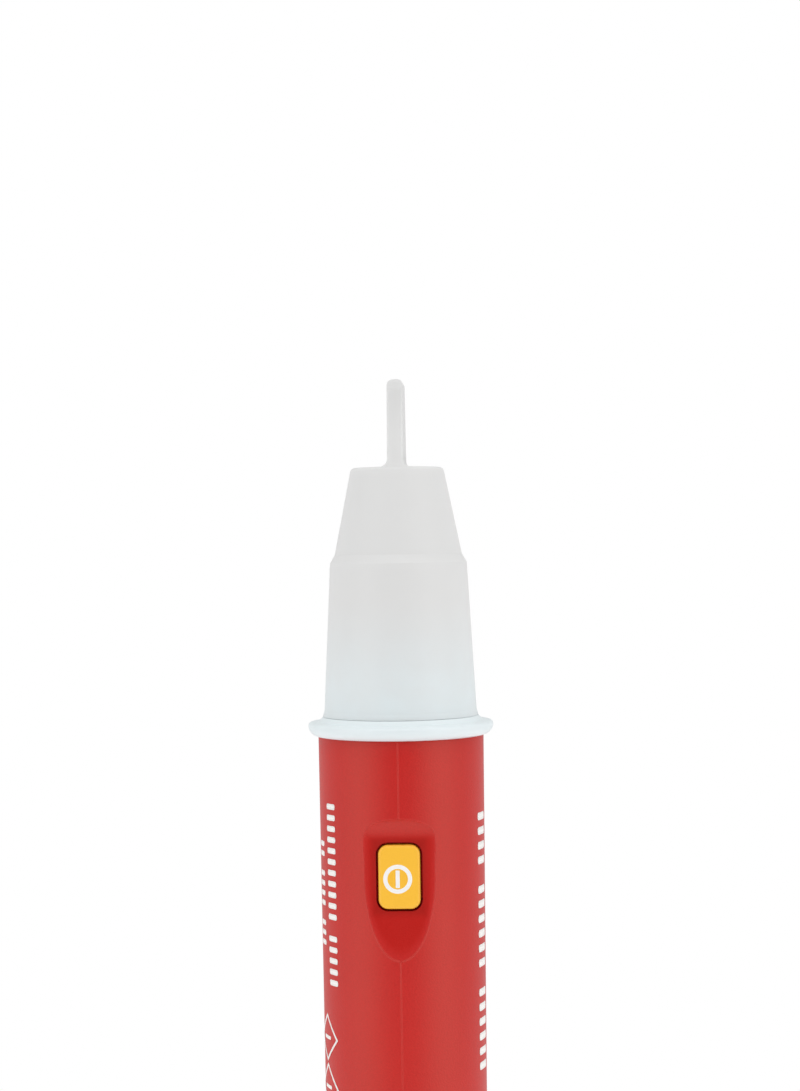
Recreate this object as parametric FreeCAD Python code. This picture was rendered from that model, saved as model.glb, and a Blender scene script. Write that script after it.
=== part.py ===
# Non contact voltage tester: a pen with a thin-bladed nose, a round barrel that holds two
# cells and a circuit board, and an end cap with a pocket clip.
#
# The tester stands on its end cap. Z runs from the cap's flat end to the tip of the nose,
# the push button faces -Y and the pocket clip is at +Y. All lengths are in millimetres.
import FreeCAD
import Part

import math
import os

V = FreeCAD.Vector

# Overall heights along the pen
TIP_Z = 155.0
BARREL_Z = (24.0, 110.15)
RING_TOP_Z = 112.55

# Barrel: a drafted tube, widest at the guard ring
BARREL_TOP_R = 10.45
DRAFT = 0.0057
BARREL_WALL = 1.55
EDGE_BREAK = 0.2
SEAM_WIDTH = 0.3
SEAM_HEIGHT = 0.05

# Thumb recess: a flat floor with a short round end above and a long ramp below
RECESS_FLOOR_Y = -9.4
RECESS_TOP_Z = 100.6
RECESS_FLOOR_Z = (93.8, 98.1)
RECESS_BOTTOM_Z = 83.3
PAD_Y = -8.2
PAD_Z = (86.6, 100.6)

# Push button and the hole that it moves in
BUTTON_Z = 93.47
BUTTON_SIZE = (5.13, 7.85)
BUTTON_CORNER_R = 1.05
BUTTON_FACE_Y = -9.8
BUTTON_EDGE_R = 0.3
BUTTON_GAP = 0.185
FLANGE_SIZE = (5.9, 10.4)
FLANGE_Y = (-8.15, -7.35)

# Nose and guard ring
SPIGOT_Z = 102.8
SPIGOT_R = 8.8
SPIGOT_BORE_R = 7.5
NECK_R = 9.2
SKIRT_FOOT_R = 9.85
SKIRT_FOOT_HEIGHT = 0.75
SKIRT_R = (9.62, 8.66)
SHOULDER_Z = (131.9, 132.9)
CONE_R = (8.05, 5.84)
CONE_TOP_Z = 143.9
NOSE_WALL = 1.35
BLADE_THICKNESS = 2.0
BLADE_DEPTH = (10.8, 6.6)
BLADE_TOP_R = 0.65
BLADE_FILLET = 1.0
SLOT_TOP_Z = 152.6
STRIP_THICKNESS = 0.3
STRIP_HALF_DEPTH = 2.2
RING_R = 11.7
RING_LIP_Z = 111.45
RING_LIP_R = (1.31, 0.42)

# Two AAA cells in line, set back from the pen's axis to leave room for the board
CELL_Y = 1.5
CELL_R = 5.07
SLEEVE_R = 5.22
CELL_LENGTH = 44.5
CELL_BUTTON_HEIGHT = 0.8
REAR_CELL_Z = 8.6
FRONT_CELL_Z = REAR_CELL_Z + CELL_LENGTH
CELLS_TOP_Z = FRONT_CELL_Z + CELL_LENGTH

# Circuit board, standing in front of the cells with its parts facing the button
BOARD_Y = (-5.0, -4.0)
BOARD_Z = (84.0, 102.0, 112.0, 126.0)
BOARD_HALF_WIDTHS = (6.0, 5.0, 3.5)
SCREW_X = 4.9
SCREW_Z = 86.4
SCREW_R = 0.54
LED_BASE_Z = 121.0
LED_R = 2.5
LED_LEAD_X = 1.27
LED_LEAD_Z = 119.6
LEAD_R = 0.25
SOUNDER_Z = 105.6
SOUNDER_R = 4.8
SOUNDER_PIN_OFFSET = 3.25
CHIP_Z = 114.1
CHIP_SIZE = (3.9, 5.0)
CHIP_Y = (-6.5, -5.1)

# Tactile switch under the button
SWITCH_HALF = 3.0
SWITCH_TOP_Y = -6.6
SWITCH_FLOOR_Y = -5.4
COVER_THICKNESS = 0.2
PLUNGER_R = 1.1
PLUNGER_Y = (-7.3, -5.95)

# Inner frame: a tray round the back of the cells, with bars across the front
FRAME_Z = (34.0, 100.3)
FRAME_INNER_R = 5.35
FRAME_WALL = 1.2
FRAME_LIMIT_R = 8.2
BULKHEAD_Z = 98.8
BAR_Z = (38.0, 58.0, 78.0)
BAR_HEIGHT = 3.0

# Ground strip from the end cap's contact up to the board
GROUND_Y = (-6.5, -6.2)
GROUND_Z = (20.0, 85.5)
STRIP_HALF_WIDTH = 1.5

# End cap, with a spigot that plugs into the barrel
CAP_FLOOR = 2.2
CAP_EDGE_R = 2.4
CAP_BORE_R = 8.1
CAP_SPIGOT_TOP_Z = 33.0
CAP_SPIGOT_R = 8.33
CAP_SPIGOT_BORE_R = 6.95
SEAL_Z = 28.0
SEAL_WIRE_R = 0.43
SEAL_GROOVE_R = 7.5
KEY_HALF_WIDTH = 2.0
KEY_HEIGHT = 1.4
SPRING_WIRE_R = 0.25
SPRING_R = (3.8, 2.4)
SPRING_TURNS = 4.5
PLATE_THICKNESS = 0.3

# Pocket clip, which flexes about a round root held in the end cap's bridge
CLIP_HALF_WIDTH = 4.0
CLIP_AXIS = (12.3, 11.9)
CLIP_KNUCKLE_R = 0.9
CLIP_SEAT_R = 1.0
CLIP_THICKNESS = 1.2
CLIP_TIP_Z = 61.5
BRIDGE_TOP_Z = 12.5


def barrel_radius(z):
    """The barrel's outer radius at a height; the end cap carries the same draft on down."""
    return BARREL_TOP_R - DRAFT * (BARREL_Z[1] - z)


def box(x, y, z):
    """A box from its (low, high) range along each axis."""
    return Part.makeBox(x[1] - x[0], y[1] - y[0], z[1] - z[0], V(x[0], y[0], z[0]))


def bar_z(radius, z, x=0.0, y=0.0):
    """A round bar along Z."""
    return Part.makeCylinder(radius, z[1] - z[0], V(x, y, z[0]))


def bar_y(radius, y, x, z):
    """A round bar along Y."""
    return Part.makeCylinder(radius, y[1] - y[0], V(x, y[0], z), V(0, 1, 0))


def bar_x(radius, x, y, z):
    """A round bar along X."""
    return Part.makeCylinder(radius, x[1] - x[0], V(x[0], y, z), V(1, 0, 0))


def outline(place, steps):
    """A closed face. A step is a point, or two points: an arc through the first to the second."""
    start = place(*steps[0])
    here = start
    edges = []
    for step in steps[1:]:
        if isinstance(step[0], tuple):
            middle, end = (place(*point) for point in step)
            edges.append(Part.Arc(here, middle, end).toShape())
        else:
            end = place(*step)
            edges.append(Part.LineSegment(here, end).toShape())
        here = end
    if here.distanceToPoint(start) > Part.Precision.confusion():
        edges.append(Part.LineSegment(here, start).toShape())
    return Part.Face(Part.Wire(edges))


def turned(steps, axis_y=0.0):
    """A solid turned about Z from an outline of (radius, height)."""
    face = outline(lambda r, z: V(r, axis_y, z), steps)
    return face.revolve(V(0, axis_y, 0), V(0, 0, 1), 360)


def side_prism(steps, half_width):
    """A side view outline of (y, z), as thick as twice the half width."""
    face = outline(lambda y, z: V(-half_width, y, z), steps)
    return face.extrude(V(2 * half_width, 0, 0))


def front_prism(steps, y):
    """A front view outline of (x, z) between two depths."""
    face = outline(lambda x, z: V(x, y[0], z), steps)
    return face.extrude(V(0, y[1] - y[0], 0))


def rounded_block(size, corner_r, y, z):
    """A block with a rounded rectangle as its front view, centred on X = 0."""
    block = box((-size[0] / 2, size[0] / 2), y, (z - size[1] / 2, z + size[1] / 2))
    corners = [e for e in block.Edges if abs(e.tangentAt(e.FirstParameter).y) > 0.99]
    return block.makeFillet(corner_r, corners)


def joined(shapes):
    """Shapes that touch or overlap, as one solid."""
    first, *others = shapes
    return first.fuse(others).removeSplitter()


def drafted_bar(grow, z):
    """A round bar that follows the barrel's draft, grown outwards by a given amount."""
    low, high = (barrel_radius(level) + grow for level in z)
    return turned([(0, z[0]), (low, z[0]), (high, z[1]), (0, z[1])])


# Barrel, nose and ring


def recess_side(surface_z):
    """The radius of the arc that leaves the recess floor and meets the surface at a height."""
    depth = barrel_radius(surface_z) + RECESS_FLOOR_Y
    nearest = min(RECESS_FLOOR_Z, key=lambda z: abs(z - surface_z))
    run = abs(surface_z - nearest)
    return (depth**2 + run**2) / (2 * depth), nearest


def recess_tool():
    """The side view of what the thumb recess removes, from above its top to below its foot."""
    outside_y = -BARREL_TOP_R - 1.0
    ends = []
    for surface_z in (RECESS_TOP_Z, RECESS_BOTTOM_Z):
        radius, start_z = recess_side(surface_z)
        reach = -outside_y + RECESS_FLOOR_Y
        direction = math.copysign(1, surface_z - start_z)
        rise = math.sqrt(radius**2 - (radius - reach) ** 2)
        half = reach / 3
        half_rise = math.sqrt(radius**2 - (radius - half) ** 2)
        ends.append(
            (
                (RECESS_FLOOR_Y, start_z),
                (RECESS_FLOOR_Y - half, start_z + direction * half_rise),
                (RECESS_FLOOR_Y - reach, start_z + direction * rise),
            )
        )
    top, bottom = ends
    far = outside_y - 2.0
    return side_prism(
        [
            bottom[0],
            top[0],
            (top[1], top[2]),
            (far, top[2][1]),
            (far, bottom[2][1]),
            bottom[2],
            (bottom[1], bottom[0]),
        ],
        BARREL_TOP_R,
    )


def barrel():
    """The handle tube, with the recess, the button's hole and the end cap's key notch."""
    low, high = BARREL_Z
    low_r = barrel_radius(low)
    tube = turned(
        [
            (0, low),
            (low_r - EDGE_BREAK, low),
            (low_r, low + EDGE_BREAK),
            (BARREL_TOP_R, high),
            (0, high),
        ]
    )
    seam = drafted_bar(SEAM_HEIGHT, (low + EDGE_BREAK, high)).common(
        box((-SEAM_WIDTH / 2, SEAM_WIDTH / 2), (-15, 15), (low, high))
    )
    pad = box((-BARREL_TOP_R, BARREL_TOP_R), (-15, PAD_Y), PAD_Z)
    bore = drafted_bar(-BARREL_WALL, (low - 1, high + 1)).cut(pad)
    hole_size = [side + 2 * BUTTON_GAP for side in BUTTON_SIZE]
    hole = rounded_block(hole_size, BUTTON_CORNER_R + BUTTON_GAP, (-12, -7), BUTTON_Z)
    clearance = 0.1
    notch = box(
        (-KEY_HALF_WIDTH - clearance, KEY_HALF_WIDTH + clearance),
        (6, 12),
        (low - 1, low + KEY_HEIGHT + clearance),
    )
    return joined([tube, seam]).cut([bore, recess_tool(), hole, notch])


def guard_ring():
    """The rounded finger guard between the barrel and the nose."""
    low, high = BARREL_Z[1], RING_TOP_Z
    bore_r = NECK_R + 0.02
    diagonal = math.sqrt(0.5)
    lower, upper = RING_LIP_R
    foot_r = RING_R - lower + math.sqrt(lower**2 - (RING_LIP_Z - low) ** 2)
    return turned(
        [
            (bore_r, low),
            (foot_r, low),
            (
                (RING_R - lower * (1 - diagonal), RING_LIP_Z - lower * diagonal),
                (RING_R, RING_LIP_Z),
            ),
            (
                (RING_R - upper * (1 - diagonal), RING_LIP_Z + upper * diagonal),
                (RING_R - upper, RING_LIP_Z + upper),
            ),
            (SKIRT_FOOT_R + 0.55, high - 0.55),
            (SKIRT_FOOT_R + 0.05, high),
            (bore_r, high),
        ]
    )


def nose():
    """The translucent nose: spigot, neck, skirt, shoulder, cone and the slotted blade."""
    barrel_top = BARREL_Z[1]
    shell = turned(
        [
            (0, SPIGOT_Z),
            (SPIGOT_R - EDGE_BREAK, SPIGOT_Z),
            (SPIGOT_R, SPIGOT_Z + EDGE_BREAK),
            (SPIGOT_R, barrel_top),
            (NECK_R, barrel_top),
            (NECK_R, RING_TOP_Z),
            (SKIRT_FOOT_R, RING_TOP_Z),
            (SKIRT_R[0], RING_TOP_Z + SKIRT_FOOT_HEIGHT),
            (SKIRT_R[1], SHOULDER_Z[0]),
            (CONE_R[0], SHOULDER_Z[1]),
            (CONE_R[1] + 0.1, CONE_TOP_Z - 0.5),
            ((CONE_R[1] - 0.1, CONE_TOP_Z - 0.12), (CONE_R[1] - 0.5, CONE_TOP_Z)),
            (0, CONE_TOP_Z),
        ]
    )
    half = BLADE_THICKNESS / 2
    foot_z = CONE_TOP_Z - 1.0
    flat = half - BLADE_TOP_R
    turn = BLADE_TOP_R * (1 - math.sqrt(0.5))
    depth = (-BLADE_DEPTH[0], BLADE_DEPTH[0])
    front = front_prism(
        [
            (-half, foot_z),
            (half, foot_z),
            (half, TIP_Z - BLADE_TOP_R),
            ((half - turn, TIP_Z - turn), (flat, TIP_Z)),
            (-flat, TIP_Z),
            ((turn - half, TIP_Z - turn), (-half, TIP_Z - BLADE_TOP_R)),
        ],
        depth,
    )
    turn = BLADE_FILLET * (1 - math.sqrt(0.5))
    wide = half + BLADE_FILLET
    fillet = front_prism(
        [
            (-wide, foot_z),
            (wide, foot_z),
            (wide, CONE_TOP_Z),
            ((half + turn, CONE_TOP_Z + turn), (half, CONE_TOP_Z + BLADE_FILLET)),
            (-half, CONE_TOP_Z + BLADE_FILLET),
            ((-half - turn, CONE_TOP_Z + turn), (-wide, CONE_TOP_Z)),
        ],
        depth,
    ).common(bar_z(CONE_R[1] - 0.5, (foot_z, TIP_Z)))
    foot, top = (depth / 2 for depth in BLADE_DEPTH)
    corner = 1.6
    side = side_prism(
        [
            (-foot, foot_z),
            (foot, foot_z),
            (top, TIP_Z - corner),
            ((top - 0.45, TIP_Z - 0.45), (top - corner, TIP_Z)),
            (corner - top, TIP_Z),
            ((0.45 - top, TIP_Z - 0.45), (-top, TIP_Z - corner)),
        ],
        BLADE_THICKNESS,
    )
    cavity = turned(
        [
            (0, SPIGOT_Z - 1),
            (SPIGOT_BORE_R, SPIGOT_Z - 1),
            (SPIGOT_BORE_R, barrel_top),
            (SKIRT_R[0] - NOSE_WALL, RING_TOP_Z + 2.5),
            (SKIRT_R[1] - NOSE_WALL, SHOULDER_Z[0] - 0.6),
            (CONE_R[0] - NOSE_WALL, SHOULDER_Z[1] - 0.3),
            (CONE_R[1] - NOSE_WALL + 0.3, CONE_TOP_Z - 1.5),
            (0, CONE_TOP_Z - 1.5),
        ]
    )
    slot_half = STRIP_THICKNESS / 2 + 0.05
    slot_depth = STRIP_HALF_DEPTH + 0.1
    slot = box((-slot_half, slot_half), (-slot_depth, slot_depth), (CONE_TOP_Z - 2, SLOT_TOP_Z))
    return joined([shell, front.common(side), fillet]).cut([cavity, slot])


# Button and switch


def power_button():
    """The push button: a crowned key with a flange that keeps it inside the barrel."""
    key = rounded_block(
        BUTTON_SIZE, BUTTON_CORNER_R, (BUTTON_FACE_Y, FLANGE_Y[0] + 0.1), BUTTON_Z
    )
    face_edges = [e for e in key.Edges if e.BoundBox.YMax < BUTTON_FACE_Y + 0.01]
    key = key.makeFillet(BUTTON_EDGE_R, face_edges)
    flange = rounded_block(FLANGE_SIZE, 0.8, FLANGE_Y, BUTTON_Z)
    return joined([key, flange])


def switch_body():
    """The square switch case, hollow under a cover with a hole for the plunger."""
    case = box(
        (-SWITCH_HALF, SWITCH_HALF),
        (SWITCH_TOP_Y, BOARD_Y[0]),
        (BUTTON_Z - SWITCH_HALF, BUTTON_Z + SWITCH_HALF),
    )
    cover_hole = bar_y(PLUNGER_R + 0.05, (SWITCH_TOP_Y - 1, SWITCH_FLOOR_Y), 0, BUTTON_Z)
    chamber = bar_y(2.2, (SWITCH_TOP_Y + COVER_THICKNESS, SWITCH_FLOOR_Y), 0, BUTTON_Z)
    return case.cut([cover_hole, chamber])


def switch_plunger():
    """The stem that the button pushes, with a collar under the switch's cover."""
    collar_y = SWITCH_TOP_Y + COVER_THICKNESS + 0.05
    stem = bar_y(PLUNGER_R, PLUNGER_Y, 0, BUTTON_Z)
    collar = bar_y(1.6, (collar_y, PLUNGER_Y[1]), 0, BUTTON_Z)
    return joined([stem, collar])


def switch_dome():
    """The snap dome on the floor of the switch, just below the plunger."""
    base_r = 1.8
    height = 0.45
    thickness = 0.12
    ball_r = (base_r**2 + height**2) / (2 * height)
    centre = V(0, SWITCH_FLOOR_Y - height + ball_r, BUTTON_Z)
    shell = Part.makeSphere(ball_r, centre).cut(Part.makeSphere(ball_r - thickness, centre))
    return shell.common(bar_y(base_r + 1, (SWITCH_TOP_Y, SWITCH_FLOOR_Y), 0, BUTTON_Z))


def switch_legs():
    """Four bent legs that solder the switch to the board."""
    legs = []
    board = BOARD_Y[0]
    for side in (-1, 1):
        for row in (-2.25, 2.25):
            z = (BUTTON_Z + row - 0.35, BUTTON_Z + row + 0.35)
            riser_x = sorted((side * SWITCH_HALF, side * (SWITCH_HALF + 0.2)))
            foot_x = sorted((side * SWITCH_HALF, side * (SWITCH_HALF + 1.0)))
            riser = box(riser_x, (board - 0.9, board), z)
            foot = box(foot_x, (board - 0.2, board), z)
            legs.append(joined([riser, foot]))
    return legs


# Circuit board and what it carries


def circuit_board():
    """The board: wide beside the cells, narrower in the nose, drilled for leads and screws."""
    steps = zip(BOARD_HALF_WIDTHS, BOARD_Z, BOARD_Z[1:])
    board = joined([box((-half, half), BOARD_Y, (low, high)) for half, low, high in steps])
    through = (BOARD_Y[0] - 1, BOARD_Y[1] + 1)
    holes = [bar_y(SCREW_R + 0.1, through, side * SCREW_X, SCREW_Z) for side in (-1, 1)]
    holes += [bar_y(LEAD_R + 0.05, through, side * LED_LEAD_X, LED_LEAD_Z) for side in (-1, 1)]
    for side in (-1, 1):
        pin_z = SOUNDER_Z + side * SOUNDER_PIN_OFFSET
        holes.append(bar_y(LEAD_R + 0.05, through, 0, pin_z))
    return board.cut(holes)


def board_screws():
    """Two pan-head screws that hold the board on the inner frame."""
    screws = []
    for side in (-1, 1):
        x = side * SCREW_X
        head = bar_y(1.1, (BOARD_Y[0] - 0.75, BOARD_Y[0]), x, SCREW_Z)
        slot_y = (BOARD_Y[0] - 0.8, BOARD_Y[0] - 0.45)
        slot = box((x - 1.2, x + 1.2), slot_y, (SCREW_Z - 0.15, SCREW_Z + 0.15))
        shank = bar_y(SCREW_R, (BOARD_Y[0] - 0.1, -2.8), x, SCREW_Z)
        screws.append(joined([head, shank]).cut(slot))
    return screws


def detector_chip():
    """The chip that amplifies what the sensor strip picks up."""
    return rounded_block(CHIP_SIZE, 0.15, CHIP_Y, CHIP_Z)


def chip_legs():
    """The detector chip's legs, bent down to the board on both sides."""
    legs = []
    pitch = 1.27
    board = BOARD_Y[0]
    for side in (-1, 1):
        for place in range(4):
            middle = CHIP_Z + (place - 1.5) * pitch
            z = (middle - 0.2, middle + 0.2)
            body_x = side * CHIP_SIZE[0] / 2
            riser = box(sorted((body_x, body_x + side * 0.4)), (board - 0.8, board), z)
            foot = box(sorted((body_x, body_x + side * 1.0)), (board - 0.18, board), z)
            legs.append(joined([riser, foot]))
    return legs


def surface_parts(places, size, height):
    """A group of small blocks soldered to the board's front face."""
    width, length = size
    front = (BOARD_Y[0] - height, BOARD_Y[0])
    return [
        box((x - width / 2, x + width / 2), front, (z - length / 2, z + length / 2))
        for x, z in places
    ]


def chip_resistors():
    """Small flat resistors round the detector chip and the switch."""
    places = [(-3.6, 99.2), (-1.2, 99.2), (3.9, 101.0), (-3.8, 104.2), (-3.8, 107.0), (2.6, 124.6)]
    return surface_parts(places, (1.25, 2.0), 0.5)


def chip_capacitors():
    """Ceramic capacitors near the supply and the detector chip."""
    places = [(1.2, 99.2), (3.6, 106.2), (2.4, 109.6), (-2.4, 109.6), (0.0, 124.6)]
    return surface_parts(places, (1.25, 2.0), 0.9)


def transistors():
    """Two small driver transistors, one for the lamp and one for the sounder."""
    return surface_parts([(-2.4, 124.3), (3.7, 103.7)], (1.3, 2.6), 1.0)


def indicator_led():
    """The round lamp that lights the nose from inside."""
    flange_top = LED_BASE_Z + 1.0
    dome_z = LED_BASE_Z + 6.1
    slope = LED_R * math.sqrt(0.5)
    return turned(
        [
            (0, LED_BASE_Z),
            (LED_R + 0.4, LED_BASE_Z),
            (LED_R + 0.4, flange_top),
            (LED_R, flange_top),
            (LED_R, dome_z),
            ((slope, dome_z + slope), (0, dome_z + LED_R)),
        ]
    )


def led_leads():
    """The lamp's two leads, bent forward and through the board."""
    leads = []
    for side in (-1, 1):
        x = side * LED_LEAD_X
        down = bar_z(LEAD_R, (LED_LEAD_Z, LED_BASE_Z), x)
        across = bar_y(LEAD_R, (BOARD_Y[0] - 0.7, 0), x, LED_LEAD_Z)
        elbow = Part.makeSphere(LEAD_R, V(x, 0, LED_LEAD_Z))
        leads.append(joined([down, across, elbow]))
    return leads


def sounder():
    """The round sounder on the back of the board, with its sound hole."""
    back_y = BOARD_Y[1] + 4.0
    case = bar_y(SOUNDER_R, (BOARD_Y[1], back_y), 0, SOUNDER_Z)
    mouth = bar_y(0.9, (back_y - 1.0, back_y + 1), 0, SOUNDER_Z)
    return case.cut(mouth)


def sounder_pins():
    """The sounder's two pins, through the board."""
    y = (BOARD_Y[0] - 0.7, BOARD_Y[1])
    return [bar_y(LEAD_R, y, 0, SOUNDER_Z + side * SOUNDER_PIN_OFFSET) for side in (-1, 1)]


def sensor_strip():
    """The pick-up electrode: a thin strip in the blade with a tail down to the board."""
    half = STRIP_THICKNESS / 2
    plate_z = (133.0, SLOT_TOP_Z - 0.1)
    plate = box((-half, half), (-STRIP_HALF_DEPTH, STRIP_HALF_DEPTH), plate_z)
    tail_y = (BOARD_Y[1], BOARD_Y[1] + 1.0)
    tail = box((-half, half), tail_y, (123.0, 134.5))
    link = box((-half, half), (tail_y[0], 0), (plate_z[0], 134.5))
    return joined([plate, link, tail])


# Cells, their contacts and the frame


def rear_cell():
    """The cell nearer the end cap: its plain can."""
    return cell_can(REAR_CELL_Z)


def front_cell():
    """The cell nearer the nose: its plain can."""
    return cell_can(FRONT_CELL_Z)


def cell_can(low):
    """A cell's can, with broken edges."""
    high = low + CELL_LENGTH - CELL_BUTTON_HEIGHT
    edge = 0.35
    return turned(
        [
            (0, low),
            (CELL_R - edge, low),
            (CELL_R, low + edge),
            (CELL_R, high - edge),
            (CELL_R - edge, high),
            (0, high),
        ],
        CELL_Y,
    )


def each_cell(make):
    """The same piece on both cells, given the height of each cell's shoulder."""
    shoulder = CELL_LENGTH - CELL_BUTTON_HEIGHT
    return [make(low, low + shoulder) for low in (REAR_CELL_Z, FRONT_CELL_Z)]


def cell_sleeves():
    """The printed sleeve round each cell."""
    inner_r = CELL_R + 0.02

    def sleeve(low, shoulder):
        z = (low + 0.5, shoulder - 0.5)
        return bar_z(SLEEVE_R, z, 0, CELL_Y).cut(bar_z(inner_r, z, 0, CELL_Y))

    return each_cell(sleeve)


def cell_seals():
    """The insulating washer at each cell's positive end."""

    def seal(_, shoulder):
        z = (shoulder, shoulder + 0.25)
        return bar_z(4.4, z, 0, CELL_Y).cut(bar_z(1.95, z, 0, CELL_Y))

    return each_cell(seal)


def cell_buttons():
    """The positive contact of each cell."""

    def button(_, shoulder):
        top = shoulder + CELL_BUTTON_HEIGHT
        return turned(
            [(0, shoulder), (1.9, shoulder), (1.9, top - 0.3), (1.6, top), (0, top)], CELL_Y
        )

    return each_cell(button)


def inner_frame():
    """The tray behind the cells, with bars, a bulkhead and bosses for the board's screws."""
    low, high = FRAME_Z
    outer_r = FRAME_INNER_R + FRAME_WALL
    sides_y = (BOARD_Y[1], CELL_Y)
    body = joined(
        [
            bar_z(outer_r, FRAME_Z, 0, CELL_Y),
            box((-outer_r, outer_r), sides_y, FRAME_Z),
        ]
    )
    channel = joined(
        [
            bar_z(FRAME_INNER_R, (low - 1, BULKHEAD_Z), 0, CELL_Y),
            box((-FRAME_INNER_R, FRAME_INNER_R), (-9, CELL_Y), (low - 1, BULKHEAD_Z)),
        ]
    )
    contact_room = box((-outer_r, outer_r), (-9, BOARD_Y[1] + 0.4), (BULKHEAD_Z, high + 1))
    pieces = [body.cut([channel, contact_room])]
    for bar_low in BAR_Z:
        z = (bar_low, bar_low + BAR_HEIGHT)
        pieces.append(box((-outer_r, outer_r), (GROUND_Y[1], BOARD_Y[1] + 0.1), z))
    for side in (-1, 1):
        pieces.append(bar_y(1.25, (BOARD_Y[1], -2.5), side * SCREW_X, SCREW_Z))
    pilots = [bar_y(SCREW_R + 0.01, (-9, -2.7), side * SCREW_X, SCREW_Z) for side in (-1, 1)]
    return joined(pieces).common(bar_z(FRAME_LIMIT_R, FRAME_Z)).cut(pilots)


def front_contact():
    """The plate that meets the front cell, with a tab up the back of the board."""
    top = BULKHEAD_Z
    plate_z = (top - PLATE_THICKNESS, top)
    plate = box((-3.4, 3.4), (CELL_Y - 3.7, CELL_Y + 3.7), plate_z)
    dimple = Part.makeCone(0.8, 1.3, plate_z[0] - CELLS_TOP_Z, V(0, CELL_Y, CELLS_TOP_Z))
    link = box((3.0, 4.7), (BOARD_Y[1], -1.0), plate_z)
    tab = box((3.5, 4.7), (BOARD_Y[1], BOARD_Y[1] + 0.3), (plate_z[0], top + 1.8))
    return joined([plate, dimple, link, tab])


def ground_strip():
    """The strip up the inside of the barrel, bent back to the foot of the board."""
    half = STRIP_HALF_WIDTH
    top = GROUND_Z[1]
    thickness = GROUND_Y[1] - GROUND_Y[0]
    board = BOARD_Y[0]
    rail = box((-half, half), GROUND_Y, GROUND_Z)
    step = box((-half, half), (GROUND_Y[0], board), (top - thickness, top))
    foot = box((-half, half), (board - thickness, board), (top - thickness, top + 1.8))
    return joined([rail, step, foot])


# End cap and pocket clip


def end_cap():
    """The battery cap: a cup with a spigot, a seal groove, a key and the clip's bridge."""
    rim = BARREL_Z[0]
    rim_r = barrel_radius(rim)
    foot_r = barrel_radius(CAP_EDGE_R)
    corner = CAP_EDGE_R * (1 - math.sqrt(0.5))
    cup = turned(
        [
            (0, 0),
            (foot_r - CAP_EDGE_R, 0),
            ((foot_r - corner, corner), (foot_r, CAP_EDGE_R)),
            (rim_r, rim - EDGE_BREAK),
            (rim_r - EDGE_BREAK, rim),
            (CAP_SPIGOT_R, rim),
            (CAP_SPIGOT_R, CAP_SPIGOT_TOP_Z - 0.4),
            (CAP_SPIGOT_R - 0.4, CAP_SPIGOT_TOP_Z),
            (CAP_SPIGOT_BORE_R, CAP_SPIGOT_TOP_Z),
            (CAP_SPIGOT_BORE_R, 20.0),
            (CAP_BORE_R, 18.8),
            (CAP_BORE_R, CAP_FLOOR),
            (0, CAP_FLOOR),
        ]
    )
    groove_z = (SEAL_Z - SEAL_WIRE_R - 0.15, SEAL_Z + SEAL_WIRE_R + 0.15)
    groove = bar_z(CAP_SPIGOT_R + 1, groove_z).cut(bar_z(SEAL_GROOVE_R, groove_z))
    key_y = (CAP_SPIGOT_R - 0.5, 9.6)
    key = box((-KEY_HALF_WIDTH, KEY_HALF_WIDTH), key_y, (rim - 1, rim + KEY_HEIGHT))
    axis_y, axis_z = CLIP_AXIS
    back_y = axis_y + CLIP_SEAT_R + 0.6
    bridge = side_prism(
        [
            (8.6, 4.2),
            (9.8, 4.2),
            ((back_y - 0.7, 5.9), (back_y, 9.0)),
            (back_y, BRIDGE_TOP_Z),
            (8.6, BRIDGE_TOP_Z),
        ],
        CLIP_HALF_WIDTH,
    )
    seat = bar_x(CLIP_SEAT_R, (-9, 9), axis_y, axis_z)
    return joined([cup, key, bridge]).cut([groove, seat])


def cap_seal():
    """The seal ring in the end cap's groove."""
    return Part.makeTorus(SEAL_GROOVE_R + SEAL_WIRE_R + 0.01, SEAL_WIRE_R, V(0, 0, SEAL_Z))


def cap_spring():
    """The tapered spring that presses on the rear cell, built from quarter turns."""
    low = CAP_FLOOR + PLATE_THICKNESS + SPRING_WIRE_R
    high = REAR_CELL_Z - SPRING_WIRE_R
    wide, narrow = SPRING_R

    def point(share):
        radius = wide + (narrow - wide) * share
        turn = 2 * math.pi * SPRING_TURNS * share
        return V(
            radius * math.cos(turn), CELL_Y + radius * math.sin(turn), low + (high - low) * share
        )

    quarters = round(4 * SPRING_TURNS)
    arcs = []
    for quarter in range(quarters):
        start, middle, end = (point((quarter + part) / quarters) for part in (0, 0.5, 1))
        arcs.append(Part.Arc(start, middle, end).toShape())
    first = arcs[0]
    along = first.tangentAt(first.FirstParameter)
    section = Part.Wire(Part.makeCircle(SPRING_WIRE_R, point(0), along))
    return Part.Wire(arcs).makePipeShell([section], True, False)


def cap_contact():
    """The plate under the spring, with an arm that slides along the ground strip."""
    floor = (CAP_FLOOR, CAP_FLOOR + PLATE_THICKNESS)
    arm_y = (GROUND_Y[1] + 0.05, GROUND_Y[1] + 0.05 + PLATE_THICKNESS)
    half = STRIP_HALF_WIDTH
    plate = bar_z(4.7, floor, 0, CELL_Y)
    link = box((-half, half), (arm_y[0], 0), floor)
    arm = box((-half, half), arm_y, (floor[0], 30.0))
    return joined([plate, link, arm])


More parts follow.
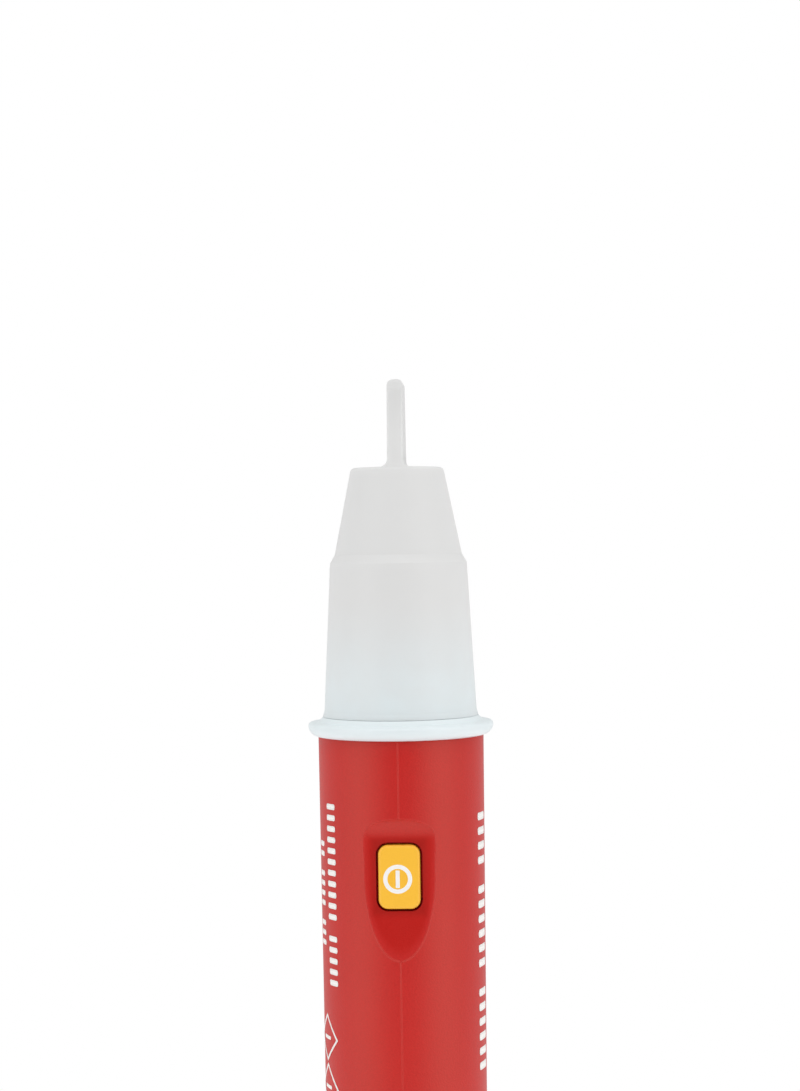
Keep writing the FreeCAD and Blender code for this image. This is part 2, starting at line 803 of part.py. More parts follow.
def pocket_clip():
    """The clip's arm: a round root, a straight run, a bump near the barrel and a flared tip."""
    y, z = CLIP_AXIS
    half = CLIP_THICKNESS / 2
    arm = side_prism(
        [
            (y - half, z),
            (y - half, 46.0),
            ((y - half - 0.5, 51.0), (10.75, 55.4)),
            ((10.5, 56.7), (10.8, 58.0)),
            ((11.3, 59.6), (12.1, CLIP_TIP_Z)),
            ((12.75, CLIP_TIP_Z + 0.15), (13.1, CLIP_TIP_Z - 0.4)),
            ((12.3, 59.0), (11.85, 56.7)),
            ((12.3, 53.0), (y + half + 0.15, 46.0)),
            (y + half, z),
        ],
        CLIP_HALF_WIDTH,
    )
    corner = 2.2
    cut_back = corner * (1 - math.sqrt(0.5))
    top = CLIP_TIP_Z + 0.5
    width = CLIP_HALF_WIDTH
    face = front_prism(
        [
            (-width, z - 2),
            (width, z - 2),
            (width, top - corner),
            ((width - cut_back, top - cut_back), (width - corner, top)),
            (corner - width, top),
            ((cut_back - width, top - cut_back), (-width, top - corner)),
        ],
        (9, 15),
    )
    root = bar_x(CLIP_KNUCKLE_R, (-width, width), y, z)
    return joined([arm.common(face), root])


NODES = (
    barrel,
    guard_ring,
    nose,
    power_button,
    switch_body,
    switch_plunger,
    switch_dome,
    switch_legs,
    circuit_board,
    board_screws,
    detector_chip,
    chip_legs,
    chip_resistors,
    chip_capacitors,
    transistors,
    indicator_led,
    led_leads,
    sounder,
    sounder_pins,
    sensor_strip,
    rear_cell,
    front_cell,
    cell_sleeves,
    cell_seals,
    cell_buttons,
    inner_frame,
    front_contact,
    ground_strip,
    end_cap,
    cap_seal,
    cap_spring,
    cap_contact,
    pocket_clip,
)


def main():
    """Write one STEP file for each node, named after the function that makes it."""
    os.makedirs("parts", exist_ok=True)
    for make in NODES:
        made = make()
        shape = Part.makeCompound(made) if isinstance(made, list) else made
        solids = shape.Solids
        if not solids or not all(solid.isValid() and solid.isClosed() for solid in solids):
            raise RuntimeError(f"{make.__name__} isn't made of valid closed solids")
        shape.exportStep(f"parts/{make.__name__}.step")
        volume = sum(solid.Volume for solid in solids)
        print(f"{make.__name__}: {len(solids)} solids, {volume:.2f} mm3")


if __name__ == "__main__":
    main()
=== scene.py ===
"""Non contact voltage tester: its visible pieces, their finishes and a small white studio.

Each operator makes one piece, or a group of like pieces, in place round the loaded frame.
Lengths in the geometry are millimetres and become metres when a mesh is made.
"""

import math

import bmesh
import bpy
from bpy.props import FloatProperty, FloatVectorProperty, PointerProperty
from mathutils import Matrix, Vector


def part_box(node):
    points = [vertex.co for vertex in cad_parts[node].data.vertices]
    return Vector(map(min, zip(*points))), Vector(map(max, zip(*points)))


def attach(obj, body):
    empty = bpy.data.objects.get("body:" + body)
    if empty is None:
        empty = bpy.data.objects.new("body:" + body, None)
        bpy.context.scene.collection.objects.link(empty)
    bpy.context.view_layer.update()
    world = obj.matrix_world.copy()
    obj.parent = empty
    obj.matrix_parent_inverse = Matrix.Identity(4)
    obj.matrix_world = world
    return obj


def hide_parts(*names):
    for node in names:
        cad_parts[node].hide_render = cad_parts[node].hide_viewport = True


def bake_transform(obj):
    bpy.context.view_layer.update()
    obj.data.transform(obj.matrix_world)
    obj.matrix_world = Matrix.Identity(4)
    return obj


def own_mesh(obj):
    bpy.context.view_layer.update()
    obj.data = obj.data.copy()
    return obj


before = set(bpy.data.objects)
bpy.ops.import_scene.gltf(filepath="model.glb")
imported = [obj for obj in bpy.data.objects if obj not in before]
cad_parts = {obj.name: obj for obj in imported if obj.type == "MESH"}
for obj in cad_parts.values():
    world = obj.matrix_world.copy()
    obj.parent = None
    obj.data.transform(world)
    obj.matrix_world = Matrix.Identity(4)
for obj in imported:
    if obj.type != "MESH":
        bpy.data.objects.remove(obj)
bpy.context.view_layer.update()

bl_info = {
    "name": "Non Contact Voltage Tester",
    "version": (1, 0, 0),
    "blender": (4, 5, 0),
    "location": "3D View > Sidebar > Tester",
    "description": "Builds a pen voltage tester, its finishes and a studio round a loaded frame",
    "category": "Add Mesh",
}

MM = 0.001
WHITE = (1.0, 1.0, 1.0, 1.0)


def low_mm(node):
    """A frame node's lowest corner, in millimetres."""
    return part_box(node)[0] / MM


def high_mm(node):
    """A frame node's highest corner, in millimetres."""
    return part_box(node)[1] / MM


def length(name, description, millimetres):
    """A length property, given in millimetres and kept in metres."""
    return FloatProperty(
        name=name, description=description, default=millimetres * MM, precision=5, unit="LENGTH"
    )


def colour(name, description, default):
    """A linear colour property."""
    return FloatVectorProperty(
        name=name, description=description, default=default, size=3, min=0, max=1, subtype="COLOR"
    )


# Settings that a user would change


class TesterSizes(bpy.types.PropertyGroup):
    """Sizes of the visible pieces."""

    rim_radius: length("Barrel radius", "Barrel radius under the guard ring", 10.45)
    wall: length("Barrel wall", "Thickness of the barrel's wall", 1.55)
    seam_width: length("Seam width", "Width of the moulding seam", 0.22)
    seam_height: length("Seam height", "Height of the moulding seam", 0.045)
    recess_depth: length("Recess floor", "Distance from the axis to the recess floor", 9.4)
    recess_top: length("Recess top", "Height of the thumb recess's top edge", 100.6)
    recess_foot: length("Recess foot", "Height of the thumb recess's foot", 83.3)
    rim_round: length("Rim rounding", "How far the recess's rim is rounded", 0.03)
    key_gap: length("Button gap", "Gap round the push button", 0.28)
    blade_thickness: length("Blade thickness", "Thickness of the nose's blade", 2.0)
    print_thickness: length("Print thickness", "Thickness of the printed marks", 0.02)


class TesterColours(bpy.types.PropertyGroup):
    """Main colours of the visible pieces."""

    shell: colour("Shell", "Barrel, end cap and clip", (0.556, 0.0125, 0.0125))
    nose_tip: colour("Nose tip", "Upper end of the nose", (0.77, 0.77, 0.765))
    nose_foot: colour("Nose foot", "Lower end of the nose", (0.78, 0.855, 0.875))
    ring: colour("Guard ring", "Finger guard", (0.83, 0.905, 0.925))
    key: colour("Button", "Push button", (1.0, 0.545, 0.047))
    marks: colour("Marks", "Printed marks", (0.98, 0.96, 0.93))


class TesterStudio(bpy.types.PropertyGroup):
    """Camera and lights."""

    lens: FloatProperty(
        name="Lens", description="Focal length in millimetres", default=74.2, unit="CAMERA"
    )
    distance: length("Distance", "From the camera to the tester's axis", 284.8)
    height: length("Camera height", "Height of the level camera", 134.05)
    side: length("Sideways", "How far the camera is moved to its right", 0.24)
    azimuth: FloatProperty(
        name="Azimuth",
        description="Camera's turn round the tester",
        default=math.radians(2.5),
        subtype="ANGLE",
    )
    roll: FloatProperty(
        name="Roll", description="Camera's roll", default=math.radians(0.88), subtype="ANGLE"
    )
    side_power: FloatProperty(
        name="Side lights", description="Power of each side light", default=0.15, unit="POWER"
    )
    fill: FloatProperty(
        name="Fill", description="Strength of the light from the room", default=1.03, min=0
    )


# Meshes


def placed(name, mesh):
    """A new object at the origin that shows a mesh."""
    made = bpy.data.objects.new(name, mesh)
    bpy.context.scene.collection.objects.link(made)
    return made


def mesh_of(name, points, faces=(), edges=()):
    """A mesh from points in millimetres."""
    mesh = bpy.data.meshes.new(name)
    mesh.from_pydata([Vector(point) * MM for point in points], edges, faces)
    return mesh


def rounded(points, segments=5):
    """A line of (a, b) or (a, b, radius) points, with the corners that have a radius rounded."""
    made = []
    for place, point in enumerate(points):
        corner = Vector(point[:2])
        if len(point) < 3:
            made.append(corner)
            continue
        back = (Vector(points[place - 1][:2]) - corner).normalized()
        onward = (Vector(points[(place + 1) % len(points)][:2]) - corner).normalized()
        half = back.angle(onward) / 2
        centre = corner + (back + onward).normalized() * point[2] / math.sin(half)
        first = corner + back * point[2] / math.tan(half) - centre
        last = corner + onward * point[2] / math.tan(half) - centre
        sweep = first.angle(last)
        for step in range(segments + 1):
            share = step / segments
            made.append(
                centre
                + first * math.sin((1 - share) * sweep) / math.sin(sweep)
                + last * math.sin(share * sweep) / math.sin(sweep)
            )
    return made


def turned(name, profile, closed=False, steps=192):
    """A shape turned about Z from (radius, height) points that run down its outside."""
    line = rounded(profile)
    edges = [(place, place + 1) for place in range(len(line) - 1)]
    if closed:
        edges.append((len(line) - 1, 0))
    made = placed(name, mesh_of(name, [(point.x, 0, point.y) for point in line], edges=edges))
    screw = made.modifiers.new("Turn", "SCREW")
    screw.steps = screw.render_steps = steps
    screw.use_merge_vertices = True
    screw.merge_threshold = 0.001 * MM
    screw.use_smooth_shade = True
    keep_flats(made)
    return made


def keep_flats(obj):
    """Shading that keeps broad faces flat beside narrow rounded edges."""
    obj.modifiers.new("Flats", "WEIGHTED_NORMAL").keep_sharp = True


def applied(obj):
    """The object with its modifiers turned into its mesh."""
    bpy.context.view_layer.update()
    graph = bpy.context.evaluated_depsgraph_get()
    mesh = bpy.data.meshes.new_from_object(obj.evaluated_get(graph))
    obj.modifiers.clear()
    obj.data = mesh
    return obj


def lofted(name, rings, ring_of_rings=False):
    """A mesh through closed rings of points, capped at both ends or joined into a ring."""
    count = len(rings[0])
    points = [point for ring in rings for point in ring]
    rows = len(rings)
    faces = []
    for row in range(rows if ring_of_rings else rows - 1):
        above = (row + 1) % rows
        for place in range(count):
            beside = (place + 1) % count
            faces.append(
                (
                    row * count + place,
                    row * count + beside,
                    above * count + beside,
                    above * count + place,
                )
            )
    if not ring_of_rings:
        faces.append(tuple(reversed(range(count))))
        faces.append(tuple(range((rows - 1) * count, rows * count)))
    return placed(name, mesh_of(name, points, faces))


def face_out(obj):
    """Turns every face outwards and welds points that coincide."""
    work = bmesh.new()
    work.from_mesh(obj.data)
    bmesh.ops.remove_doubles(work, verts=work.verts, dist=0.002 * MM)
    bmesh.ops.recalc_face_normals(work, faces=work.faces)
    work.to_mesh(obj.data)
    work.free()
    return obj


def smooth(obj, degrees=35):
    """Smooth shading, with edges sharper than an angle kept crisp."""
    obj.data.shade_smooth()
    obj.data.set_sharp_from_angle(angle=math.radians(degrees))
    return obj


def combined(obj, tool, operation):
    """Cuts a helper from the object or adds it, and removes the helper."""
    cut = obj.modifiers.new(operation, "BOOLEAN")
    cut.operation = operation
    cut.solver = "EXACT"
    cut.object = tool
    applied(obj)
    bpy.data.objects.remove(tool)
    return obj


def joined(name, *parts):
    """Several objects' meshes as one object."""
    work = bmesh.new()
    for part in parts:
        work.from_mesh(part.data)
        bpy.data.objects.remove(part)
    mesh = bpy.data.meshes.new(name)
    work.to_mesh(mesh)
    work.free()
    return placed(name, mesh)


def rounded_rectangle(width, height, radius, segments=6):
    """A rounded rectangle's (x, z) outline about its centre."""
    x, z = width / 2, height / 2
    return rounded([(x, -z, radius), (x, z, radius), (-x, z, radius), (-x, -z, radius)], segments)


def rectangle(x, z):
    """A plain rectangle's outline from its (low, high) ranges."""
    return [Vector(point) for point in ((x[0], z[0]), (x[1], z[0]), (x[1], z[1]), (x[0], z[1]))]


def slab(name, outline, depth, centre_z):
    """An (x, z) outline as a block between two depths."""
    rings = [[(p.x, y, p.y + centre_z) for p in outline] for y in depth]
    return face_out(lofted(name, rings))


def finished(obj, material, body, slot, *stands_for):
    """Gives a piece its material and its body, and hides the nodes that it stands for; the slot is
    not used.
    """
    obj.data.materials.clear()
    obj.data.materials.append(material)
    if stands_for:
        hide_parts(*stands_for)
    if body:
        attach(obj, body)
    return obj


# Shader maths


class Value:
    """A shader socket that Python's operators work on; each one adds a Math node."""

    def __init__(self, graph, socket):
        self.graph = graph
        self.socket = socket

    def math(self, operation, *others):
        """This value and others through one Math node."""
        return self.graph.node("ShaderNodeMath", {"operation": operation}, [self, *others])

    def __add__(self, other):
        return self.math("ADD", other)

    def __sub__(self, other):
        return self.math("SUBTRACT", other)

    def __rsub__(self, other):
        return self.graph.node("ShaderNodeMath", {"operation": "SUBTRACT"}, [other, self])

    def __mul__(self, other):
        return self.math("MULTIPLY", other)

    def __pow__(self, other):
        return self.math("POWER", other)

    __radd__ = __add__
    __rmul__ = __mul__

    def ramp(self, low, high):
        """0 below low, 1 above high and smooth between them."""
        settings = {"interpolation_type": "SMOOTHSTEP"}
        return self.graph.node("ShaderNodeMapRange", settings, {"Value": self, 1: low, 2: high})


class Graph:
    """A material's or the world's nodes."""

    def __init__(self, owner):
        owner.use_nodes = True
        self.tree = owner.node_tree
        self.tree.nodes.clear()

    def node(self, kind, settings=None, inputs=(), output=0):
        """Adds a node: its settings first, then its inputs by name or place."""
        made = self.tree.nodes.new(kind)
        for name, setting in (settings or {}).items():
            setattr(made, name, setting)
        pairs = inputs.items() if isinstance(inputs, dict) else enumerate(inputs)
        for name, value in pairs:
            if isinstance(value, Value):
                self.tree.links.new(value.socket, made.inputs[name])
            else:
                made.inputs[name].default_value = value
        return Value(self, made.outputs[output]) if made.outputs else None

    def place(self):
        """Object coordinates in millimetres."""
        where = self.node("ShaderNodeTexCoord", output="Object")
        return self.node("ShaderNodeVectorMath", {"operation": "SCALE"}, {0: where, "Scale": 1000.0})

    def axes(self, vector):
        """A vector's three values."""
        split = self.node("ShaderNodeSeparateXYZ", inputs=[vector])
        return [Value(self, socket) for socket in split.socket.node.outputs]

    def noise(self, vector, scale, detail=2.0, roughness=0.5):
        """Soft noise from 0 to 1, with scale in features per millimetre."""
        inputs = {"Vector": vector, "Scale": scale, "Detail": detail, "Roughness": roughness}
        return self.node("ShaderNodeTexNoise", inputs=inputs)

    def mix(self, share, first, second):
        """Two colours mixed by a share."""
        ends = [opaque(first), opaque(second)]
        return self.node(
            "ShaderNodeMix", {"data_type": "RGBA"}, {0: share, 6: ends[0], 7: ends[1]}, output=2
        )

    def bump(self, height, strength, distance):
        """A bumped normal; the distance is in millimetres."""
        inputs = {"Height": height, "Strength": strength, "Distance": distance * MM}
        return self.node("ShaderNodeBump", inputs=inputs)

    def surface(self, **inputs):
        """The finished surface; underscores in the input names stand for spaces."""
        named = {name.replace("_", " "): value for name, value in inputs.items()}
        shader = self.node("ShaderNodeBsdfPrincipled", inputs=named)
        self.node("ShaderNodeOutputMaterial", inputs={"Surface": shader})


def opaque(value):
    """A colour with its alpha, or a socket as it is."""
    return value if isinstance(value, Value) else (*value[:3], 1.0)


def darker(value, share):
    """A colour multiplied by a share."""
    return tuple(channel * share for channel in value[:3])


def material(name):
    """A new material and its graph."""
    made = bpy.data.materials.get(name) or bpy.data.materials.new(name)
    return made, Graph(made)


def satin_plastic(name, tint, grain=5.0, sheen=0.42, bump=0.8, uneven=0.1, paint_shade=None):
    """Moulded satin plastic: fine spark-eroded grain, slow mottling and a few scuffs.

    An optional function paints shade into the colour by place.
    """
    made, graph = material(name)
    place = graph.place()
    fine = graph.noise(place, grain, 3.0, 0.6)
    slow = graph.noise(place, 0.09, 2.0)
    scuffs = graph.noise(place, 0.7, 4.0, 0.7).ramp(0.60, 0.78)
    shade = fine.ramp(0.3, 0.7) * 0.5 + slow * 0.5
    base = graph.mix(shade, darker(tint, 1 - uneven), darker(tint, 1 + uneven))
    # Painted shade, such as in the barrel's recess and round its button, goes into the colour here.
    if paint_shade:
        base = paint_shade(graph, place, base, tint)
    graph.surface(
        Base_Color=base,
        Roughness=sheen + 0.10 * (fine - 0.5) + 0.05 * scuffs,
        Normal=graph.bump(fine, bump, 0.03),
        Specular_IOR_Level=0.5,
        Specular_Tint=(1.0, 0.96, 0.76, 1.0),
    )
    return made


def print_ink(name, tint):
    """Matt pad-printing ink with slightly uneven cover."""
    made, graph = material(name)
    place = graph.place()
    cover = graph.noise(place, 3.0, 3.0)
    graph.surface(
        Base_Color=graph.mix(cover, darker(tint, 0.92), tint),
        Roughness=0.5 + 0.1 * cover,
        Normal=graph.bump(cover, 0.15, 0.01),
    )
    return made


def nose_plastic(tip, foot, low_z, high_z, blade_z):
    """Translucent white plastic with faint flow marks: cooler at the foot, greyer at the tip."""
    made, graph = material("nose_plastic")
    place = graph.place()
    height = graph.axes(place)[2]
    rise = height.ramp(low_z, high_z)
    flow = graph.noise(place, 0.35, 3.0)
    fine = graph.noise(place, 4.0, 3.0, 0.6)
    base = graph.mix(rise, foot, tip)
    base = graph.mix(height.ramp(blade_z - 8.0, blade_z), base, darker(tip, 0.92))
    graph.surface(
        Base_Color=graph.mix(flow * 0.5, base, darker(tip, 0.97)),
        Roughness=0.36 + 0.08 * (fine - 0.5),
        Normal=graph.bump(fine, 0.12, 0.02),
        Specular_IOR_Level=0.3,
        Subsurface_Weight=0.35,
        Subsurface_Radius=(1.0, 1.0, 1.0),
        Subsurface_Scale=1.2 * MM,
    )
    return made


def gloss_plastic(name, tint, rough=0.25):
    """Smooth moulded plastic with faint ripples."""
    made, graph = material(name)
    place = graph.place()
    ripple = graph.noise(place, 0.5, 2.0)
    fine = graph.noise(place, 6.0, 2.0)
    graph.surface(
        Base_Color=graph.mix(ripple, darker(tint, 0.96), tint),
        Roughness=rough + 0.08 * (ripple - 0.5) + 0.03 * fine,
        Normal=graph.bump(fine, 0.06, 0.01),
    )
    return made


def rubber(name, tint):
    """Moulded rubber with a dusty, uneven sheen."""
    made, graph = material(name)
    place = graph.place()
    dust = graph.noise(place, 2.5, 4.0, 0.6)
    graph.surface(
        Base_Color=graph.mix(dust, darker(tint, 0.7), darker(tint, 1.3)),
        Roughness=0.6 + 0.2 * dust,
        Normal=graph.bump(dust, 0.3, 0.01),
    )
    return made


def metal(name, tint, rough=0.3, along=(1.0, 1.0, 0.1)):
    """Plated or rolled metal with fine drawn lines and light tarnish."""
    made, graph = material(name)
    place = graph.place()
    stretched = graph.node("ShaderNodeVectorMath", {"operation": "MULTIPLY"}, [place, along])
    lines = graph.noise(stretched, 9.0, 3.0)
    tarnish = graph.noise(place, 0.6, 3.0).ramp(0.45, 0.75)
    graph.surface(
        Base_Color=graph.mix(tarnish, tint, darker(tint, 0.8)),
        Metallic=1.0,
        Roughness=rough + 0.12 * (lines - 0.5) + 0.1 * tarnish,
        Normal=graph.bump(lines, 0.1, 0.01),
    )
    return made


# Barrel


# The push button's outline, which the barrel's hole follows
BUTTON_SIZE = (5.13, 7.85)
BUTTON_SHIFT = -0.055
BUTTON_CORNER = 1.18
BUTTON_EDGE = 0.36

# Thumb recess: its level floor above the button's middle, and the raised lip round it
RECESS_FLAT = (0.33, 4.63)
LIP_HEIGHT = 0.06
LIP_WIDTH = 0.17
LIP_INNER_WIDTH = 0.07

# Painted shade: a deeper colour in the recess, and a darker one that fades out from the button's gap
RECESS_SHADE_DEPTHS = (0.03, 0.3)
RECESS_SHADE_SHARE = 0.8
RECESS_SHADE_RED = 0.88
GAP_SHADE_RED = 0.72
GAP_SHADE_REACH = (0.1, 1.3)
SHADE_FRONT_DEPTHS = (-8.0, 0.0)
SHADE_FOOT_FADE = 0.2
SHADE_TOP_FADE = (0.5, 1.0)

# Flat pad inside the barrel, behind the button
PAD_Y = -8.2
PAD_HEIGHTS = (86.6, 100.6)
PAD_STEP = 0.02

# Spacing of the barrel's points: angles in degrees, then heights in millimetres
FINE_ANGLE = 30.0
FINE_STEP = 0.3
COARSE_STEP = 3.0
SEAM_STEPS = (0.0, 0.2, 0.4, 0.6, 0.8)
LIP_STEP = 0.07
RAMP_STEP = 0.15
TOP_STEP = 3.0
PLAIN_STEP = 8.0
BORE_RING_Z = 60.0

# Chamfers at the barrel's two ends
FOOT_CHAMFER = 0.2
RIM_CHAMFER = 0.15

# Helpers that cut the barrel
HOLE_DEPTHS = (-12.0, -7.0)
NOTCH_DEPTHS = (6.0, 12.0)
NOTCH_HALF = (2.1, 1.5)


def button_centre():
    """The push button's height."""
    return (low_mm("power_button").z + high_mm("power_button").z) / 2


class Barrel:
    """The barrel's surface as a radius at an angle and a height, in millimetres."""

    def __init__(self, sizes):
        self.low = low_mm("barrel").z
        self.high = high_mm("barrel").z
        self.rim = sizes.rim_radius / MM
        foot = high_mm("end_cap").x
        self.draft = (self.rim - foot) / (self.high - self.low)
        self.wall = sizes.wall / MM
        self.seam = (sizes.seam_width / MM / 2, sizes.seam_height / MM)
        self.floor = sizes.recess_depth / MM
        self.recess = (sizes.recess_foot / MM, sizes.recess_top / MM)
        self.round = sizes.rim_round / MM
        self.flat = tuple(button_centre() + rise for rise in RECESS_FLAT)

    def radius(self, height):
        """Plain radius, which falls towards the end cap."""
        return self.rim - self.draft * (self.high - height)

    def scoop(self, height):
        """Distance from the axis to the recess's floor or ramp, or None clear of it."""
        edge = self.recess[0] if height < self.flat[0] else self.recess[1]
        start = min(max(height, self.flat[0]), self.flat[1])
        run = abs(height - start)
        depth = self.radius(edge) - self.floor
        reach = abs(edge - (self.flat[0] if edge == self.recess[0] else self.flat[1]))
        curve = (depth**2 + reach**2) / (2 * depth)
        if run >= curve:
            return None
        return self.floor + curve - math.sqrt(curve**2 - run**2)

    def painted_shade(self, graph, place, base, tint):
        """The plastic's colour with painted shade: deeper in the recess and darkest by the button's
        gap.
        """
        across, depth, height = graph.axes(place)
        sunk = self.radius(height) - (across * across + depth * depth) ** 0.5
        low, high = self.recess[0], self.flat[1]
        sunk = sunk.ramp(*RECESS_SHADE_DEPTHS) * height.ramp(low - SHADE_FOOT_FADE, low + SHADE_FOOT_FADE)
        sunk = sunk * (1.0 - height.ramp(high - SHADE_TOP_FADE[0], high + SHADE_TOP_FADE[1]))
        beside = (across - BUTTON_SHIFT).math("ABSOLUTE") - BUTTON_SIZE[0] / 2
        above = (height - button_centre()).math("ABSOLUTE") - BUTTON_SIZE[1] / 2
        gap_shade = 1.0 - beside.math("MAXIMUM", above).ramp(*GAP_SHADE_REACH)
        front = 1.0 - depth.ramp(*SHADE_FRONT_DEPTHS)
        # Painted shade: the recess floor deepens and the edge of the button's gap darkens, on the
        # front only
        base = graph.mix(sunk * front * RECESS_SHADE_SHARE, base, (RECESS_SHADE_RED * tint[0], 0.0, 0.0))
        return graph.mix(gap_shade * front, base, (GAP_SHADE_RED * tint[0], 0.0, 0.0))

    def slope(self, height):
        """How steeply the recess's ramps climb at a height."""
        step = 0.01
        here, beyond = self.scoop(height), self.scoop(height - step)
        return 0.2 if here is None or beyond is None else abs(beyond - here) / step

    def outside(self, angle, height):
        """Radius of the finished outside, with its seams and the thumb recess."""
        plain = self.radius(height)
        across = abs(plain * math.sin(angle))
        if across < self.seam[0]:
            plain += self.seam[1] * (1 - (across / self.seam[0]) ** 2)
        scoop = self.scoop(height)
        if scoop is None or math.cos(angle) < 0.5:
            return plain
        cut = scoop / math.cos(angle)
        soft = self.round
        blend = max(soft - abs(plain - cut), 0) / soft
        edge = min(plain, cut) - soft * blend**2 / 4
        rise = math.hypot(math.sin(angle), self.slope(height), 0.01)
        away = abs(plain - cut) / (rise * (LIP_WIDTH if plain < cut else LIP_INNER_WIDTH))
        return edge + LIP_HEIGHT * max(0.0, 1 - away**2) ** 2

    def inside(self, angle, height, pad):
        """Radius of the bore, flattened to a pad behind the button."""
        plain = self.radius(height) - self.wall
        if pad and math.cos(angle) > 0.5:
            return min(plain, -PAD_Y / math.cos(angle))
        return plain

    def at(self, radius, angle, height):
        """A point; angle 0 faces the front and grows towards +X."""
        return (radius * math.sin(angle), -radius * math.cos(angle), height)


def barrel_angles():
    """Angles round the barrel, closest together at the seams and across the recess."""
    fine = spaced(SEAM_STEPS[-1] + FINE_STEP, FINE_ANGLE, FINE_STEP)
    steps = round((180 - 2 * COARSE_STEP - FINE_ANGLE) / COARSE_STEP)
    coarse = [FINE_ANGLE + COARSE_STEP * (place + 1) for place in range(steps)]
    back = [180 - angle for angle in reversed(SEAM_STEPS)]
    half = list(SEAM_STEPS) + fine + coarse + [180 - COARSE_STEP] + back
    mirrored = [-angle for angle in reversed(half[1:-1])]
    return [math.radians(angle) for angle in half + mirrored]


def spaced(low, high, step):
    """Values from low to high, about a step apart."""
    count = max(1, round(abs(high - low) / step))
    return [low + (high - low) * place / count for place in range(count + 1)]


def barrel_rings(barrel):
    """The barrel's wall as rings: up the outside, over the rim and down the bore."""
    angles = barrel_angles()
    low, high = barrel.low, barrel.high
    foot, top = barrel.recess
    below, foot_end, top_start, beyond = foot - 0.4, foot + 4.0, top - 1.0, top + 0.4
    heights = spaced(low + FOOT_CHAMFER, below, PLAIN_STEP)[:-1]
    heights += spaced(below, foot_end, LIP_STEP)
    heights += spaced(foot_end, top_start, RAMP_STEP)[1:]
    heights += spaced(top_start, beyond, LIP_STEP)[1:]
    heights += spaced(beyond, high - RIM_CHAMFER, TOP_STEP)[1:]
    rings = [[barrel.at(barrel.radius(low) - FOOT_CHAMFER, a, low) for a in angles]]
    rings += [[barrel.at(barrel.outside(a, z), a, z) for a in angles] for z in heights]
    rings.append([barrel.at(barrel.radius(high) - 0.05, a, high - 0.04) for a in angles])
    rings.append([barrel.at(barrel.radius(high) - RIM_CHAMFER, a, high) for a in angles])
    pad_low, pad_high = PAD_HEIGHTS
    bore = [(high, False), (pad_high, False), (pad_high - PAD_STEP, True)]
    bore += [(pad_low + PAD_STEP, True), (pad_low, False)]
    bore += [(BORE_RING_Z, False), (low, False)]
    rings += [[barrel.at(barrel.inside(a, z, pad), a, z) for a in angles] for z, pad in bore]
    return rings


def button_outline(grow=0.0):
    """The push button's outline, grown by a gap."""
    width, height = BUTTON_SIZE
    outline = rounded_rectangle(width + 2 * grow, height + 2 * grow, BUTTON_CORNER + grow, 10)
    return [point + Vector((BUTTON_SHIFT, 0)) for point in outline]


class TESTER_OT_barrel(bpy.types.Operator):
    """Barrel with its thumb recess, seams, button hole and key notch"""

    bl_idname = "tester.barrel"
    bl_label = "Barrel"

    def execute(self, context):
        sizes = context.scene.tester_sizes
        barrel = Barrel(sizes)
        made = face_out(lofted("barrel_shell", barrel_rings(barrel), ring_of_rings=True))
        gap = sizes.key_gap / MM
        hole = slab("hole_tool", button_outline(gap), HOLE_DEPTHS, button_centre())
        combined(made, hole, "DIFFERENCE")
        x, z = NOTCH_HALF
        notch = slab("notch_tool", rectangle((-x, x), (-z, z)), NOTCH_DEPTHS, barrel.low)
        combined(made, notch, "DIFFERENCE")
        smooth(made, 30)
        tint = context.scene.tester_colours.shell
        # The barrel's plastic carries painted shade in its recess and round its button
        shell = satin_plastic("barrel_plastic", tint, paint_shade=barrel.painted_shade)
        finished(made, shell, "barrel", "red_shell", "barrel")
        return {"FINISHED"}


# Printing


# Rows of bars and the diamonds: turns in degrees, the rest in millimetres
LEFT_ROW = {"turn": -56.5, "top": 102.4, "foot": 79.1, "across": 2.0, "groups": (11, 5)}
SECOND_ROW = {"turn": -73.2, "top": 97.5, "foot": 83.9, "across": 1.9, "groups": (2, 4, 3)}
RIGHT_ROW = {"turn": 74.5, "top": 101.0, "foot": 68.0, "across": 2.7, "groups": (4, 6, 6)}
DIAMONDS = {"heights": (72.7, 66.5), "turn": -69.2, "half": 3.0, "line": 0.3}
DIAMOND_BAR_SHARE = 0.75
DIAMOND_BAR_WIDTH = 0.45
DIAMOND_SIDE_STEPS = 10
BAR_SHARE = 0.52
BAR_CORNER_SHARE = 0.6
BAR_STEP = 0.12
PRINT_LIFT = 0.004


def print_strip(width, half_height):
    """A bar of ink with rounded corners, as (across, half height) pairs along its length."""
    radius = min(half_height, width / 2) * BAR_CORNER_SHARE
    stations = []
    for across in spaced(-width / 2, width / 2, BAR_STEP):
        inset = max(0.0, radius - (width / 2 - abs(across)))
        stations.append((across, half_height - radius + math.sqrt(max(radius**2 - inset**2, 0))))
    return stations


def bar_mark(points, faces, barrel, turn, height, across, up):
    """Adds a bar of ink on the barrel: turn in degrees, sizes in millimetres."""
    stations = print_strip(across, up / 2)
    radius = barrel.radius(height) + PRINT_LIFT
    first = len(points)
    for along, half in stations:
        angle = math.radians(turn) + along / radius
        points.append(barrel.at(radius, angle, height - half))
        points.append(barrel.at(radius, angle, height + half))
    for place in range(len(stations) - 1):
        start = first + 2 * place
        faces.append((start, start + 2, start + 3, start + 1))


